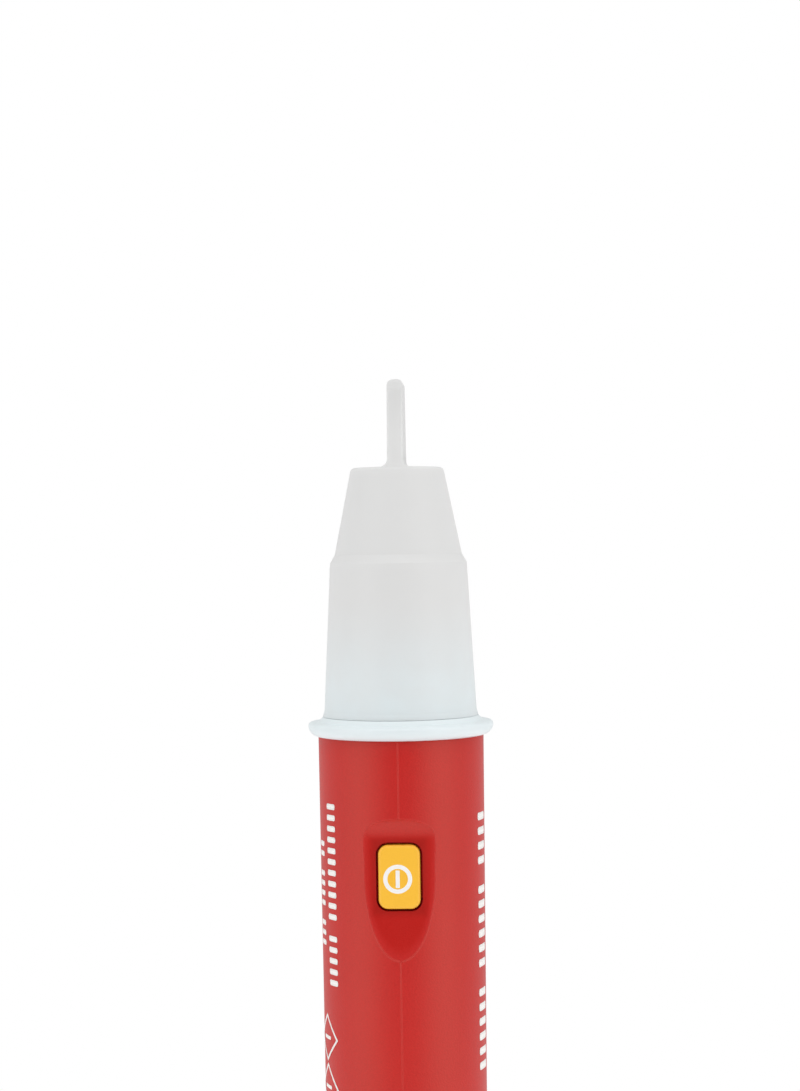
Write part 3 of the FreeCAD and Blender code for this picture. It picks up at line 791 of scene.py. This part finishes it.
def diamond_mark(points, faces, barrel, turn, height, half, line):
    """Adds a diamond outline with a plain bar inside."""
    radius = barrel.radius(height) + PRINT_LIFT
    corners = [(half, 0), (0, half), (-half, 0), (0, -half)]
    first = len(points)
    for side, start in enumerate(corners):
        end = corners[(side + 1) % len(corners)]
        for step in range(DIAMOND_SIDE_STEPS):
            share = step / DIAMOND_SIDE_STEPS
            across = start[0] + (end[0] - start[0]) * share
            up = start[1] + (end[1] - start[1]) * share
            for scale in (1.0, 1 - line * math.sqrt(2) / half):
                angle = math.radians(turn) + across * scale / radius
                points.append(barrel.at(radius, angle, height + up * scale))
    count = len(corners) * DIAMOND_SIDE_STEPS
    for place in range(count):
        here = first + 2 * place
        onward = first + 2 * ((place + 1) % count)
        faces.append((here, onward, onward + 1, here + 1))
    across = half * DIAMOND_BAR_SHARE
    bar_mark(points, faces, barrel, turn, height, across, DIAMOND_BAR_WIDTH)


def print_row(points, faces, barrel, turn, top, foot, across, groups):
    """Adds a row of bars down the barrel, in groups with one bar's space between them."""
    pitch = (top - foot) / (sum(groups) + len(groups) - 1)
    height = top
    for count in groups:
        for _ in range(count):
            bar_mark(points, faces, barrel, turn, height - pitch / 2, across, pitch * BAR_SHARE)
            height -= pitch
        height -= pitch


class TESTER_OT_printing(bpy.types.Operator):
    """Plain printed marks on both sides of the barrel"""

    bl_idname = "tester.printing"
    bl_label = "Printing"

    def execute(self, context):
        sizes = context.scene.tester_sizes
        barrel = Barrel(sizes)
        points, faces = [], []
        for row in (LEFT_ROW, SECOND_ROW, RIGHT_ROW):
            print_row(points, faces, barrel, **row)
        turn, half, line = DIAMONDS["turn"], DIAMONDS["half"], DIAMONDS["line"]
        for height in DIAMONDS["heights"]:
            diamond_mark(points, faces, barrel, turn, height, half, line)
        made = placed("barrel_print", mesh_of("barrel_print", points, faces))
        made.data.shade_smooth()
        skin = made.modifiers.new("Ink", "SOLIDIFY")
        skin.thickness = sizes.print_thickness
        skin.offset = 1
        ink = print_ink("print_ink", context.scene.tester_colours.marks)
        finished(made, ink, "barrel", "ring_plastic")
        return {"FINISHED"}


# Nose and guard ring


NOSE_OUTSIDE = (
    (0.0, 143.9),
    (5.84, 143.9, 0.55),
    (6.07, 142.8),
    (8.05, 132.95, 0.15),
    (8.66, 131.9, 0.22),
    (8.72, 130.8),
    (9.62, 113.35, 0.9),
    (9.84, 112.58, 0.04),
)
NOSE_INSIDE = (
    (9.2, 112.56),
    (9.2, 110.17),
    (8.8, 110.15),
    (8.8, 102.8, 0.2),
    (7.5, 102.8, 0.15),
    (7.5, 110.15, 0.5),
    (8.25, 115.0, 0.5),
    (7.31, 131.3, 0.5),
    (6.7, 132.6, 0.5),
    (4.79, 142.4, 0.4),
    (0.0, 142.4),
)
BLADE_FOOT_Z = 143.9
BLADE_DEPTHS = (5.4, 3.3)
BLADE_CORNER = 1.6
BLADE_TOP_ROUND = 0.8
BLADE_EDGE = 0.2
BLADE_FILLET = 1.0
BLADE_FRONT_FLARE = 0.2
BLADE_SUNK = 0.6
COOL_HEIGHT = 16.0


def blade_half_thickness(height, half, top):
    """Half the blade's thickness at a height, with its flared foot and rounded top."""
    over = max(0.0, height - (top - BLADE_TOP_ROUND))
    half -= BLADE_TOP_ROUND - math.sqrt(max(BLADE_TOP_ROUND**2 - over**2, 0.0))
    under = min(max(0.0, BLADE_FOOT_Z + BLADE_FILLET - height), BLADE_FILLET)
    return half + BLADE_FILLET - math.sqrt(BLADE_FILLET**2 - under**2)


def blade_half_depth(height, top):
    """Half the blade's depth at a height, with its rounded top corners."""
    share = (height - BLADE_FOOT_Z) / (top - BLADE_FOOT_Z)
    depth = BLADE_DEPTHS[0] + (BLADE_DEPTHS[1] - BLADE_DEPTHS[0]) * share
    over = max(0.0, height - (top - BLADE_CORNER))
    return depth - BLADE_CORNER + math.sqrt(max(BLADE_CORNER**2 - over**2, 0.0))


def blade_rings(half, top):
    """The blade's level outlines, from inside the nose up to its rounded top edge."""
    foot = BLADE_FOOT_Z - 0.02
    turns = spaced(0.0, math.pi / 2, math.pi / 24)
    heights = [foot - BLADE_SUNK] + [foot + BLADE_FILLET * (1 - math.cos(turn)) for turn in turns]
    heights += spaced(foot + BLADE_FILLET, top - BLADE_CORNER, 1.0)[1:-1]
    heights += [top - BLADE_CORNER * (1 - math.sin(turn)) for turn in turns]
    heights += [top - BLADE_TOP_ROUND * (1 - math.sin(turn)) for turn in turns[1:-1]]
    rings = []
    for height in sorted(heights):
        thick = blade_half_thickness(height, half, top)
        flare = max(0.0, thick - half)
        depth = blade_half_depth(height, top) + flare * BLADE_FRONT_FLARE
        edge = min(BLADE_EDGE + flare, thick * 0.8)
        outline = rounded_rectangle(2 * thick, 2 * depth, edge, 5)
        rings.append([(point.x, point.y, height) for point in outline])
    return rings


class TESTER_OT_nose(bpy.types.Operator):
    """Translucent nose with its skirt, shoulder, cone and blade"""

    bl_idname = "tester.nose"
    bl_label = "Nose"

    def execute(self, context):
        sizes = context.scene.tester_sizes
        colours = context.scene.tester_colours
        made = applied(turned("nose_shell", NOSE_OUTSIDE + NOSE_INSIDE, steps=256))
        top = high_mm("nose").z
        rings = blade_rings(sizes.blade_thickness / MM / 2, top)
        blade = face_out(lofted("blade_tool", rings))
        combined(made, blade, "UNION")
        smooth(made, 38)
        keep_flats(made)
        foot = high_mm("guard_ring").z
        plastic = nose_plastic(colours.nose_tip, colours.nose_foot, foot, foot + COOL_HEIGHT, top)
        finished(made, plastic, "barrel", "nose_plastic", "nose")
        return {"FINISHED"}


# Guard ring: its bore and collar, and the radii of its lip below and above the widest place
RING_BORE = 9.22
RING_COLLAR = 9.84
RING_LIP_Z = 111.45
RING_SWELL = 1.31
RING_BEAD = 0.42


def ring_profile():
    """The guard ring's outline: a collar under the skirt and a lip with two round edges."""
    lip = high_mm("guard_ring").x
    low, high = low_mm("guard_ring").z, high_mm("guard_ring").z
    line = [(RING_BORE, high), (RING_COLLAR, high, 0.05), (10.35, high - 0.55, 0.25)]
    for turn in spaced(math.pi / 2, 0.0, math.pi / 16):
        reach = (RING_BEAD * (math.cos(turn) - 1), RING_BEAD * math.sin(turn))
        line.append((lip + reach[0], RING_LIP_Z + reach[1]))
    for turn in spaced(0.0, math.asin((RING_LIP_Z - low) / RING_SWELL), math.pi / 20)[1:]:
        reach = (RING_SWELL * (math.cos(turn) - 1), RING_SWELL * math.sin(turn))
        line.append((lip + reach[0], RING_LIP_Z - reach[1]))
    return line + [(RING_BORE, low)]


class TESTER_OT_guard_ring(bpy.types.Operator):
    """Rounded finger guard between the barrel and the nose"""

    bl_idname = "tester.guard_ring"
    bl_label = "Guard ring"

    def execute(self, context):
        made = turned("guard_ring_shell", ring_profile(), closed=True, steps=256)
        plastic = gloss_plastic("ring_plastic", context.scene.tester_colours.ring, 0.32)
        finished(made, plastic, "barrel", "ring_plastic", "guard_ring")
        return {"FINISHED"}


# Push button


KEY_BACK = -8.1
FLANGE_OUTLINE = (6.1, 10.4, 0.8)
FLANGE_DEPTHS = (-8.15, -7.35)

# A sheet on the flange, grown from the button's outline, whose red tint is painted shade seen in the
# button's gap; the barrel's wall covers its edge
GAP_SHADE_SHEET_RED = (0.85, 0.014, 0.01)
GAP_SHEET_GROWTHS = (0.02, 0.42)
GAP_SHEET_DEPTHS = (-8.19, -8.155)

# Power mark: its middle from the button's, its ring's radii and its bar
MARK_OFFSET = (-0.24, -0.225)
MARK_RADII = (1.775, 1.26)
MARK_BAR = (0.5, 2.15, 0.06)
MARK_STEPS = 96


class TESTER_OT_push_button(bpy.types.Operator):
    """Push button with its flange and the ring-and-bar power mark"""

    bl_idname = "tester.push_button"
    bl_label = "Push button"

    def execute(self, context):
        colours = context.scene.tester_colours
        face = low_mm("power_button").y
        centre = button_centre()
        key = slab("key", button_outline(), (face, KEY_BACK), centre)
        for polygon in key.data.polygons:
            polygon.use_smooth = True
        edge = key.modifiers.new("Edge", "BEVEL")
        edge.width = BUTTON_EDGE * MM
        edge.segments = 4
        edge.limit_method = "ANGLE"
        edge.angle_limit = math.radians(60)
        applied(key)
        flange = slab("flange", rounded_rectangle(*FLANGE_OUTLINE), FLANGE_DEPTHS, centre)
        made = smooth(joined("push_button", key, flange), 40)
        keep_flats(made)
        plastic = satin_plastic("button_plastic", colours.key, 4.0, 0.38, 0.3, uneven=0.03)
        finished(made, plastic, "button", "button_plastic", "power_button")
        # The gap's sheet gets a red tint that paints the shade seen in the button's gap
        gap_shade_finish = rubber("gap_shade_rubber", GAP_SHADE_SHEET_RED)
        finished(gap_shade_sheet(centre), gap_shade_finish, "button", "seal_rubber")
        mark = power_mark(face, centre, context.scene.tester_sizes.print_thickness)
        ink = print_ink("mark_ink", colours.marks)
        finished(mark, ink, "button", "ring_plastic")
        return {"FINISHED"}


def gap_shade_sheet(centre):
    """A thin sheet on the button's flange behind the barrel's wall, tinted red as painted shade in
    the button's gap.
    """
    bands = []
    for grow in GAP_SHEET_GROWTHS:
        for depth in GAP_SHEET_DEPTHS:
            bands.append([(p.x, depth, p.y + centre) for p in button_outline(grow)])
    inner_front, inner_back, outer_front, outer_back = bands
    rings = [inner_front, outer_front, outer_back, inner_back]
    return smooth(face_out(lofted("gap_shade_sheet", rings, ring_of_rings=True)), 35)


def power_mark(face, centre, thickness):
    """The power mark: a ring with a bar in it, as a thin layer of ink."""
    x, y, z = MARK_OFFSET[0], face - PRINT_LIFT, centre + MARK_OFFSET[1]
    points, faces = [], []
    for step in range(MARK_STEPS):
        turn = 2 * math.pi * step / MARK_STEPS
        for radius in MARK_RADII:
            points.append((x + radius * math.cos(turn), y, z + radius * math.sin(turn)))
    for step in range(MARK_STEPS):
        here, onward = 2 * step, 2 * ((step + 1) % MARK_STEPS)
        faces.append((here, here + 1, onward + 1, onward))
    bar = rounded_rectangle(*MARK_BAR, segments=3)
    first = len(points)
    points += [(x + point.x, y, z + point.y) for point in bar]
    faces.append(tuple(range(first, len(points))))
    made = placed("power_mark", mesh_of("power_mark", points, faces))
    skin = made.modifiers.new("Ink", "SOLIDIFY")
    skin.thickness = thickness
    skin.offset = 1
    return made


DOME_THICKNESS = 0.12
DOME_DIMPLE = 0.04
DIMPLE_RADIUS = 0.4


class TESTER_OT_snap_dome(bpy.types.Operator):
    """Snap dome in the switch, made domed; the real one goes flat when the button is pressed"""

    bl_idname = "tester.snap_dome"
    bl_label = "Snap dome"

    def execute(self, context):
        low, high = low_mm("switch_dome"), high_mm("switch_dome")
        radius, rise = (high.x - low.x) / 2, high.y - low.y
        made = applied(turned("snap_dome", dome_profile(radius, rise), steps=64))
        turn = Matrix.Rotation(math.radians(90), 4, "X")
        move = Matrix.Translation(Vector((0, high.y, (low.z + high.z) / 2)) * MM)
        made.data.transform(move @ turn)
        steel = metal("dome_steel", (0.82, 0.80, 0.74), 0.22)
        finished(made, steel, "barrel", "dome_steel", "switch_dome")
        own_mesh(made)
        return {"FINISHED"}


def dome_profile(radius, rise):
    """A thin dome with a dimple at its crown: down its outside and back up its inside."""
    ball = (radius**2 + rise**2) / (2 * rise)
    line = []
    for across in spaced(0.0, radius, radius / 12):
        height = math.sqrt(ball**2 - across**2) - ball + rise
        dimple = DOME_DIMPLE * max(0.0, 1 - (across / DIMPLE_RADIUS) ** 2) ** 2
        line.append((across, height - dimple))
    inside = [(across, max(height - DOME_THICKNESS, 0.0)) for across, height in line[:-1]]
    return line + [(radius - 0.05, 0.0)] + list(reversed(inside))


# End cap and clip


# The cap's inside and spigot, as (radius, height) with the rounding of a corner
CAP_PROFILE = (
    (0.0, 2.2),
    (8.1, 2.2, 0.4),
    (8.1, 18.8, 0.3),
    (6.95, 20.0, 0.3),
    (6.95, 33.0, 0.12),
    (8.33, 33.0, 0.35),
    (8.33, 28.58, 0.05),
    (7.5, 28.58),
    (7.5, 27.42),
    (8.33, 27.42, 0.05),
    (8.33, 24.0),
)


CAP_ROUND = 2.4
CAP_DRAFT_TOP = 8.5
CAP_DISH = (3.0, 0.35)
KEY_ACROSS = (-2.0, 2.0)
KEY_RISE = (-1.0, 1.4)
KEY_DEPTHS = (7.8, 9.6)


class TESTER_OT_end_cap(bpy.types.Operator):
    """End cap with its spigot, seal groove and key"""

    bl_idname = "tester.end_cap"
    bl_label = "End cap"

    def execute(self, context):
        barrel = Barrel(context.scene.tester_sizes)
        dish, sunk = CAP_DISH
        outside = (
            (barrel.radius(barrel.low), barrel.low, FOOT_CHAMFER),
            (barrel.radius(CAP_DRAFT_TOP), CAP_DRAFT_TOP),
            (barrel.radius(CAP_ROUND), 0.0, CAP_ROUND),
            (dish + 0.2, 0.0, 0.15),
            (dish, sunk, 0.15),
            (0.0, sunk),
        )
        made = applied(turned("end_cap_shell", CAP_PROFILE + outside))
        key = slab("key_tool", rectangle(KEY_ACROSS, KEY_RISE), KEY_DEPTHS, barrel.low)
        combined(made, key, "UNION")
        smooth(made, 30)
        shell = satin_plastic("shell_plastic", context.scene.tester_colours.shell)
        finished(made, shell, "cap", "red_shell", "end_cap")
        return {"FINISHED"}


# The clip's centre line, as (y, z, half thickness)
CLIP_LINE = (
    (9.2, 5.2, 1.5),
    (10.6, 6.0, 1.7),
    (11.9, 8.2, 1.45),
    (12.25, 11.0, 1.0),
    (12.35, 15.0, 0.68),
    (12.4, 22.0, 0.62),
    (12.4, 32.0, 0.60),
    (12.35, 42.0, 0.60),
    (12.05, 49.0, 0.60),
    (11.45, 54.0, 0.62),
    (11.15, 56.8, 0.66),
    (11.45, 59.0, 0.60),
    (12.25, 61.0, 0.50),
)


# How far up the clip curves round the cap, and that curve's radius
CLIP_HUG = 9.0
CLIP_CURVE = 9.9

# The clip's half width at its root, how much it loses over its taper, and where it tapers
CLIP_HALF_WIDTH = 3.95
CLIP_NARROWING = 0.45
CLIP_TAPER = (20.0, 62.0)


def clip_rings():
    """The clip's outlines across its centre line."""
    rings = []
    for place, (y, z, half) in enumerate(CLIP_LINE):
        before = CLIP_LINE[max(place - 1, 0)]
        after = CLIP_LINE[min(place + 1, len(CLIP_LINE) - 1)]
        along = Vector((after[0] - before[0], after[1] - before[1])).normalized()
        out = Vector((along.y, -along.x))
        taper = max(0.0, (z - CLIP_TAPER[0]) / (CLIP_TAPER[1] - CLIP_TAPER[0]))
        width = CLIP_HALF_WIDTH - CLIP_NARROWING * taper
        hug = max(0.0, 1.0 - (z - CLIP_LINE[0][1]) / CLIP_HUG)
        section = (
            (-width, -half * 0.6),
            (-width * 0.94, -half),
            (width * 0.94, -half),
            (width, -half * 0.6),
            (width, half * 0.6),
            (width * 0.94, half),
            (0.0, half * 1.3),
            (-width * 0.94, half),
            (-width, half * 0.6),
        )
        ring = []
        for x, depth in section:
            bent = hug * (CLIP_CURVE - math.sqrt(CLIP_CURVE**2 - x**2))
            ring.append((x, y + out.x * depth - bent, z + out.y * depth))
        rings.append(ring)
    return rings


class TESTER_OT_pocket_clip(bpy.types.Operator):
    """Pocket clip that grows out of the end cap and bends at its root"""

    bl_idname = "tester.pocket_clip"
    bl_label = "Pocket clip"

    def execute(self, context):
        made = face_out(lofted("pocket_clip_arm", clip_rings()))
        even = made.modifiers.new("Even", "SUBSURF")
        even.levels = even.render_levels = 3
        applied(made)
        smooth(made, 50)
        shell = satin_plastic("shell_plastic", context.scene.tester_colours.shell)
        finished(made, shell, None, "red_shell", "pocket_clip")
        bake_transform(made)
        return {"FINISHED"}


# Inner parts, which keep their frame shapes


# Printed bands, as (foot, top) below a cell's plus end, and the softness of their edges
COPPER_BAND = (13.0, 0.0)
COPPER_LINE = (15.0, 14.2)
PRINT_SOFT = 0.1


def between(height, low, high):
    """1 between two heights and 0 outside them."""
    return height.ramp(low, low + PRINT_SOFT) * (1.0 - height.ramp(high, high + PRINT_SOFT))


def cell_print():
    """Printed foil on both cells: dark with a copper band and a thin line at the plus end."""
    made, graph = material("cell_print")
    place = graph.place()
    height = graph.axes(place)[2]
    band, line = 0.0, 0.0
    for cell in ("rear_cell", "front_cell"):
        top = high_mm(cell).z
        band = between(height, top - COPPER_BAND[0], top - COPPER_BAND[1]) + band
        line = between(height, top - COPPER_LINE[0], top - COPPER_LINE[1]) + line
    flakes = graph.noise(place, 8.0, 2.0)
    rubbed = graph.noise(place, 0.5, 4.0, 0.7).ramp(0.62, 0.72)
    dark = graph.mix(flakes, (0.028, 0.03, 0.034), (0.05, 0.053, 0.06))
    copper = graph.mix(flakes, (0.62, 0.27, 0.10), (0.74, 0.36, 0.15))
    base = graph.mix((band + line).math("MINIMUM", 1.0), dark, copper)
    graph.surface(
        Base_Color=graph.mix(rubbed * 0.35, base, (0.4, 0.4, 0.4)),
        Metallic=0.35 + 0.5 * band,
        Roughness=0.24 + 0.08 * flakes + 0.12 * rubbed,
        Normal=graph.bump(flakes, 0.1, 0.01),
    )
    return made


class TESTER_OT_inner_parts(bpy.types.Operator):
    """Finishes for the cells, the board and its parts, the contacts and the seal"""

    bl_idname = "tester.inner_parts"
    bl_label = "Inner parts"

    def execute(self, context):
        finishes = {
            satin_plastic("frame_plastic", (0.03, 0.03, 0.033)): ["inner_frame"],
            satin_plastic("board_laminate", (0.015, 0.11, 0.045), 2.0, 0.35): ["circuit_board"],
            satin_plastic("black_epoxy", (0.02, 0.02, 0.022), 6.0, 0.5): [
                "detector_chip",
                "transistors",
                "sounder",
                "chip_resistors",
                "switch_body",
                "switch_plunger",
            ],
            satin_plastic("ceramic_body", (0.45, 0.32, 0.18), 6.0, 0.5): ["chip_capacitors"],
            gloss_plastic("led_epoxy", (0.75, 0.05, 0.03), 0.15): ["indicator_led"],
            cell_print(): ["cell_sleeves"],
            satin_plastic("seal_nylon", (0.60, 0.57, 0.48)): ["cell_seals"],
            satin_plastic("seal_rubber", (0.02, 0.02, 0.02), 3.0, 0.6): ["cap_seal"],
            metal("bright_metal", (0.80, 0.80, 0.80), 0.2): [
                "led_leads",
                "sounder_pins",
                "chip_legs",
                "switch_legs",
                "cap_spring",
                "cell_buttons",
            ],
            metal("contact_metal", (0.66, 0.64, 0.58), 0.3): [
                "front_contact",
                "ground_strip",
                "cap_contact",
                "board_screws",
                "rear_cell",
                "front_cell",
            ],
            metal("copper_strip", (0.70, 0.38, 0.22), 0.32): ["sensor_strip"],
        }
        for finish, nodes in finishes.items():
            for node in nodes:
                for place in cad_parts[node].material_slots:
                    place.material = finish
        return {"FINISHED"}


# Studio


TARGET = (0.0, 0.0, 0.11)
SIDE_SIZE = (0.30, 0.50)
SIDE_TURN = math.radians(62)
SIDE_RISE = 0.1
SIDE_DISTANCE = 0.45
RIGHT_SHARE = 1.5
FLOOR_RADIUS = 240.0


def soft_light(name, power, size, direction, distance, target):
    """A rectangular light that faces a point."""
    lamp = bpy.data.lights.new(name, "AREA")
    lamp.energy = power
    lamp.shape = "RECTANGLE"
    lamp.size, lamp.size_y = size
    made = bpy.data.objects.new(name, lamp)
    bpy.context.scene.collection.objects.link(made)
    away = Vector(direction).normalized()
    made.visible_camera = False
    made.location = Vector(target) + away * distance
    made.rotation_euler = away.to_track_quat("Z", "Y").to_euler()
    return made


def room(fill):
    """White to the camera; for lighting, brightest at the sides and dim straight in front."""
    world = bpy.data.worlds.new("room")
    bpy.context.scene.world = world
    graph = Graph(world)
    _, behind, above = graph.axes(graph.node("ShaderNodeTexCoord", output="Generated"))
    front = -1.0 * behind
    sides = 0.70 + 0.50 * front.ramp(0.05, 0.55) - 1.15 * front.ramp(0.77, 0.955)
    rise = 1.0 - 0.2 * above.ramp(0.1, 0.3) + 0.5 * above.ramp(0.45, 0.75)
    light = fill * sides * rise
    lit = graph.node("ShaderNodeBackground", inputs={"Color": WHITE, "Strength": light})
    white = graph.node("ShaderNodeBackground", inputs={"Color": WHITE, "Strength": 1.0})
    seen = graph.node("ShaderNodeLightPath", output="Is Camera Ray")
    shown = graph.node("ShaderNodeMixShader", inputs=[seen, lit, white])
    graph.node("ShaderNodeOutputWorld", inputs={"Surface": shown})


class TESTER_OT_studio(bpy.types.Operator):
    """Camera, lights, white room and pale floor, which stays under the end cap"""

    bl_idname = "tester.studio"
    bl_label = "Studio"

    def execute(self, context):
        studio = context.scene.tester_studio
        context.scene.view_settings.view_transform = "Standard"
        lens = bpy.data.cameras.new("camera")
        lens.lens = studio.lens
        camera = bpy.data.objects.new("camera", lens)
        context.scene.collection.objects.link(camera)
        context.scene.camera = camera
        level = Matrix.Rotation(math.radians(90), 4, "X")
        turn = Matrix.Rotation(studio.azimuth, 4, "Z")
        back = Matrix.Translation((studio.side, -studio.distance, studio.height))
        roll = Matrix.Rotation(-studio.roll, 4, "Z")
        camera.matrix_world = turn @ back @ level @ roll
        for name, side, share in (("left", -1, 1.0), ("right", 1, RIGHT_SHARE)):
            direction = (side * math.sin(SIDE_TURN), -math.cos(SIDE_TURN), SIDE_RISE)
            power = studio.side_power * share
            soft_light(f"side_light_{name}", power, SIDE_SIZE, direction, SIDE_DISTANCE, TARGET)
        room(studio.fill)
        disc = turned("floor", [(0.0, 0.0), (FLOOR_RADIUS, 0.0)], steps=96)
        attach(disc, "cap")
        pale, graph = material("pale_floor")
        spread = graph.noise(graph.place(), 0.02, 2.0)
        tint = graph.mix(spread, (0.80, 0.80, 0.80), (0.86, 0.86, 0.86))
        graph.surface(
            Base_Color=tint, Roughness=0.8, Emission_Color=WHITE, Emission_Strength=0.3
        )
        disc.data.materials.append(pale)
        return {"FINISHED"}


class TESTER_PT_panel(bpy.types.Panel):
    """Lists the tester's operators in the sidebar"""

    bl_label = "Voltage tester"
    bl_idname = "TESTER_PT_panel"
    bl_space_type = "VIEW_3D"
    bl_region_type = "UI"
    bl_category = "Tester"

    def draw(self, context):
        for operator in OPERATORS:
            self.layout.operator(operator.bl_idname)
        for group in ("tester_sizes", "tester_colours", "tester_studio"):
            settings = getattr(context.scene, group)
            for name in settings.__annotations__:
                self.layout.prop(settings, name)


OPERATORS = (
    TESTER_OT_studio,
    TESTER_OT_barrel,
    TESTER_OT_printing,
    TESTER_OT_nose,
    TESTER_OT_guard_ring,
    TESTER_OT_push_button,
    TESTER_OT_snap_dome,
    TESTER_OT_end_cap,
    TESTER_OT_pocket_clip,
    TESTER_OT_inner_parts,
)
GROUPS = {
    "tester_sizes": TesterSizes,
    "tester_colours": TesterColours,
    "tester_studio": TesterStudio,
}


def register():
    """Adds the settings, operators and panel."""
    for name, group in GROUPS.items():
        bpy.utils.register_class(group)
        setattr(bpy.types.Scene, name, PointerProperty(type=group))
    for operator in OPERATORS:
        bpy.utils.register_class(operator)
    bpy.utils.register_class(TESTER_PT_panel)


def unregister():
    """Removes the panel, operators and settings."""
    bpy.utils.unregister_class(TESTER_PT_panel)
    for operator in reversed(OPERATORS):
        bpy.utils.unregister_class(operator)
    for name, group in GROUPS.items():
        delattr(bpy.types.Scene, name)
        bpy.utils.unregister_class(group)


def main():
    """Builds everything in order."""
    register()
    bpy.ops.tester.studio()
    bpy.ops.tester.barrel()
    bpy.ops.tester.printing()
    bpy.ops.tester.nose()
    bpy.ops.tester.guard_ring()
    bpy.ops.tester.push_button()
    bpy.ops.tester.snap_dome()
    bpy.ops.tester.end_cap()
    bpy.ops.tester.pocket_clip()
    bpy.ops.tester.inner_parts()
    bpy.context.view_layer.update()


if __name__ == "__main__":
    main()
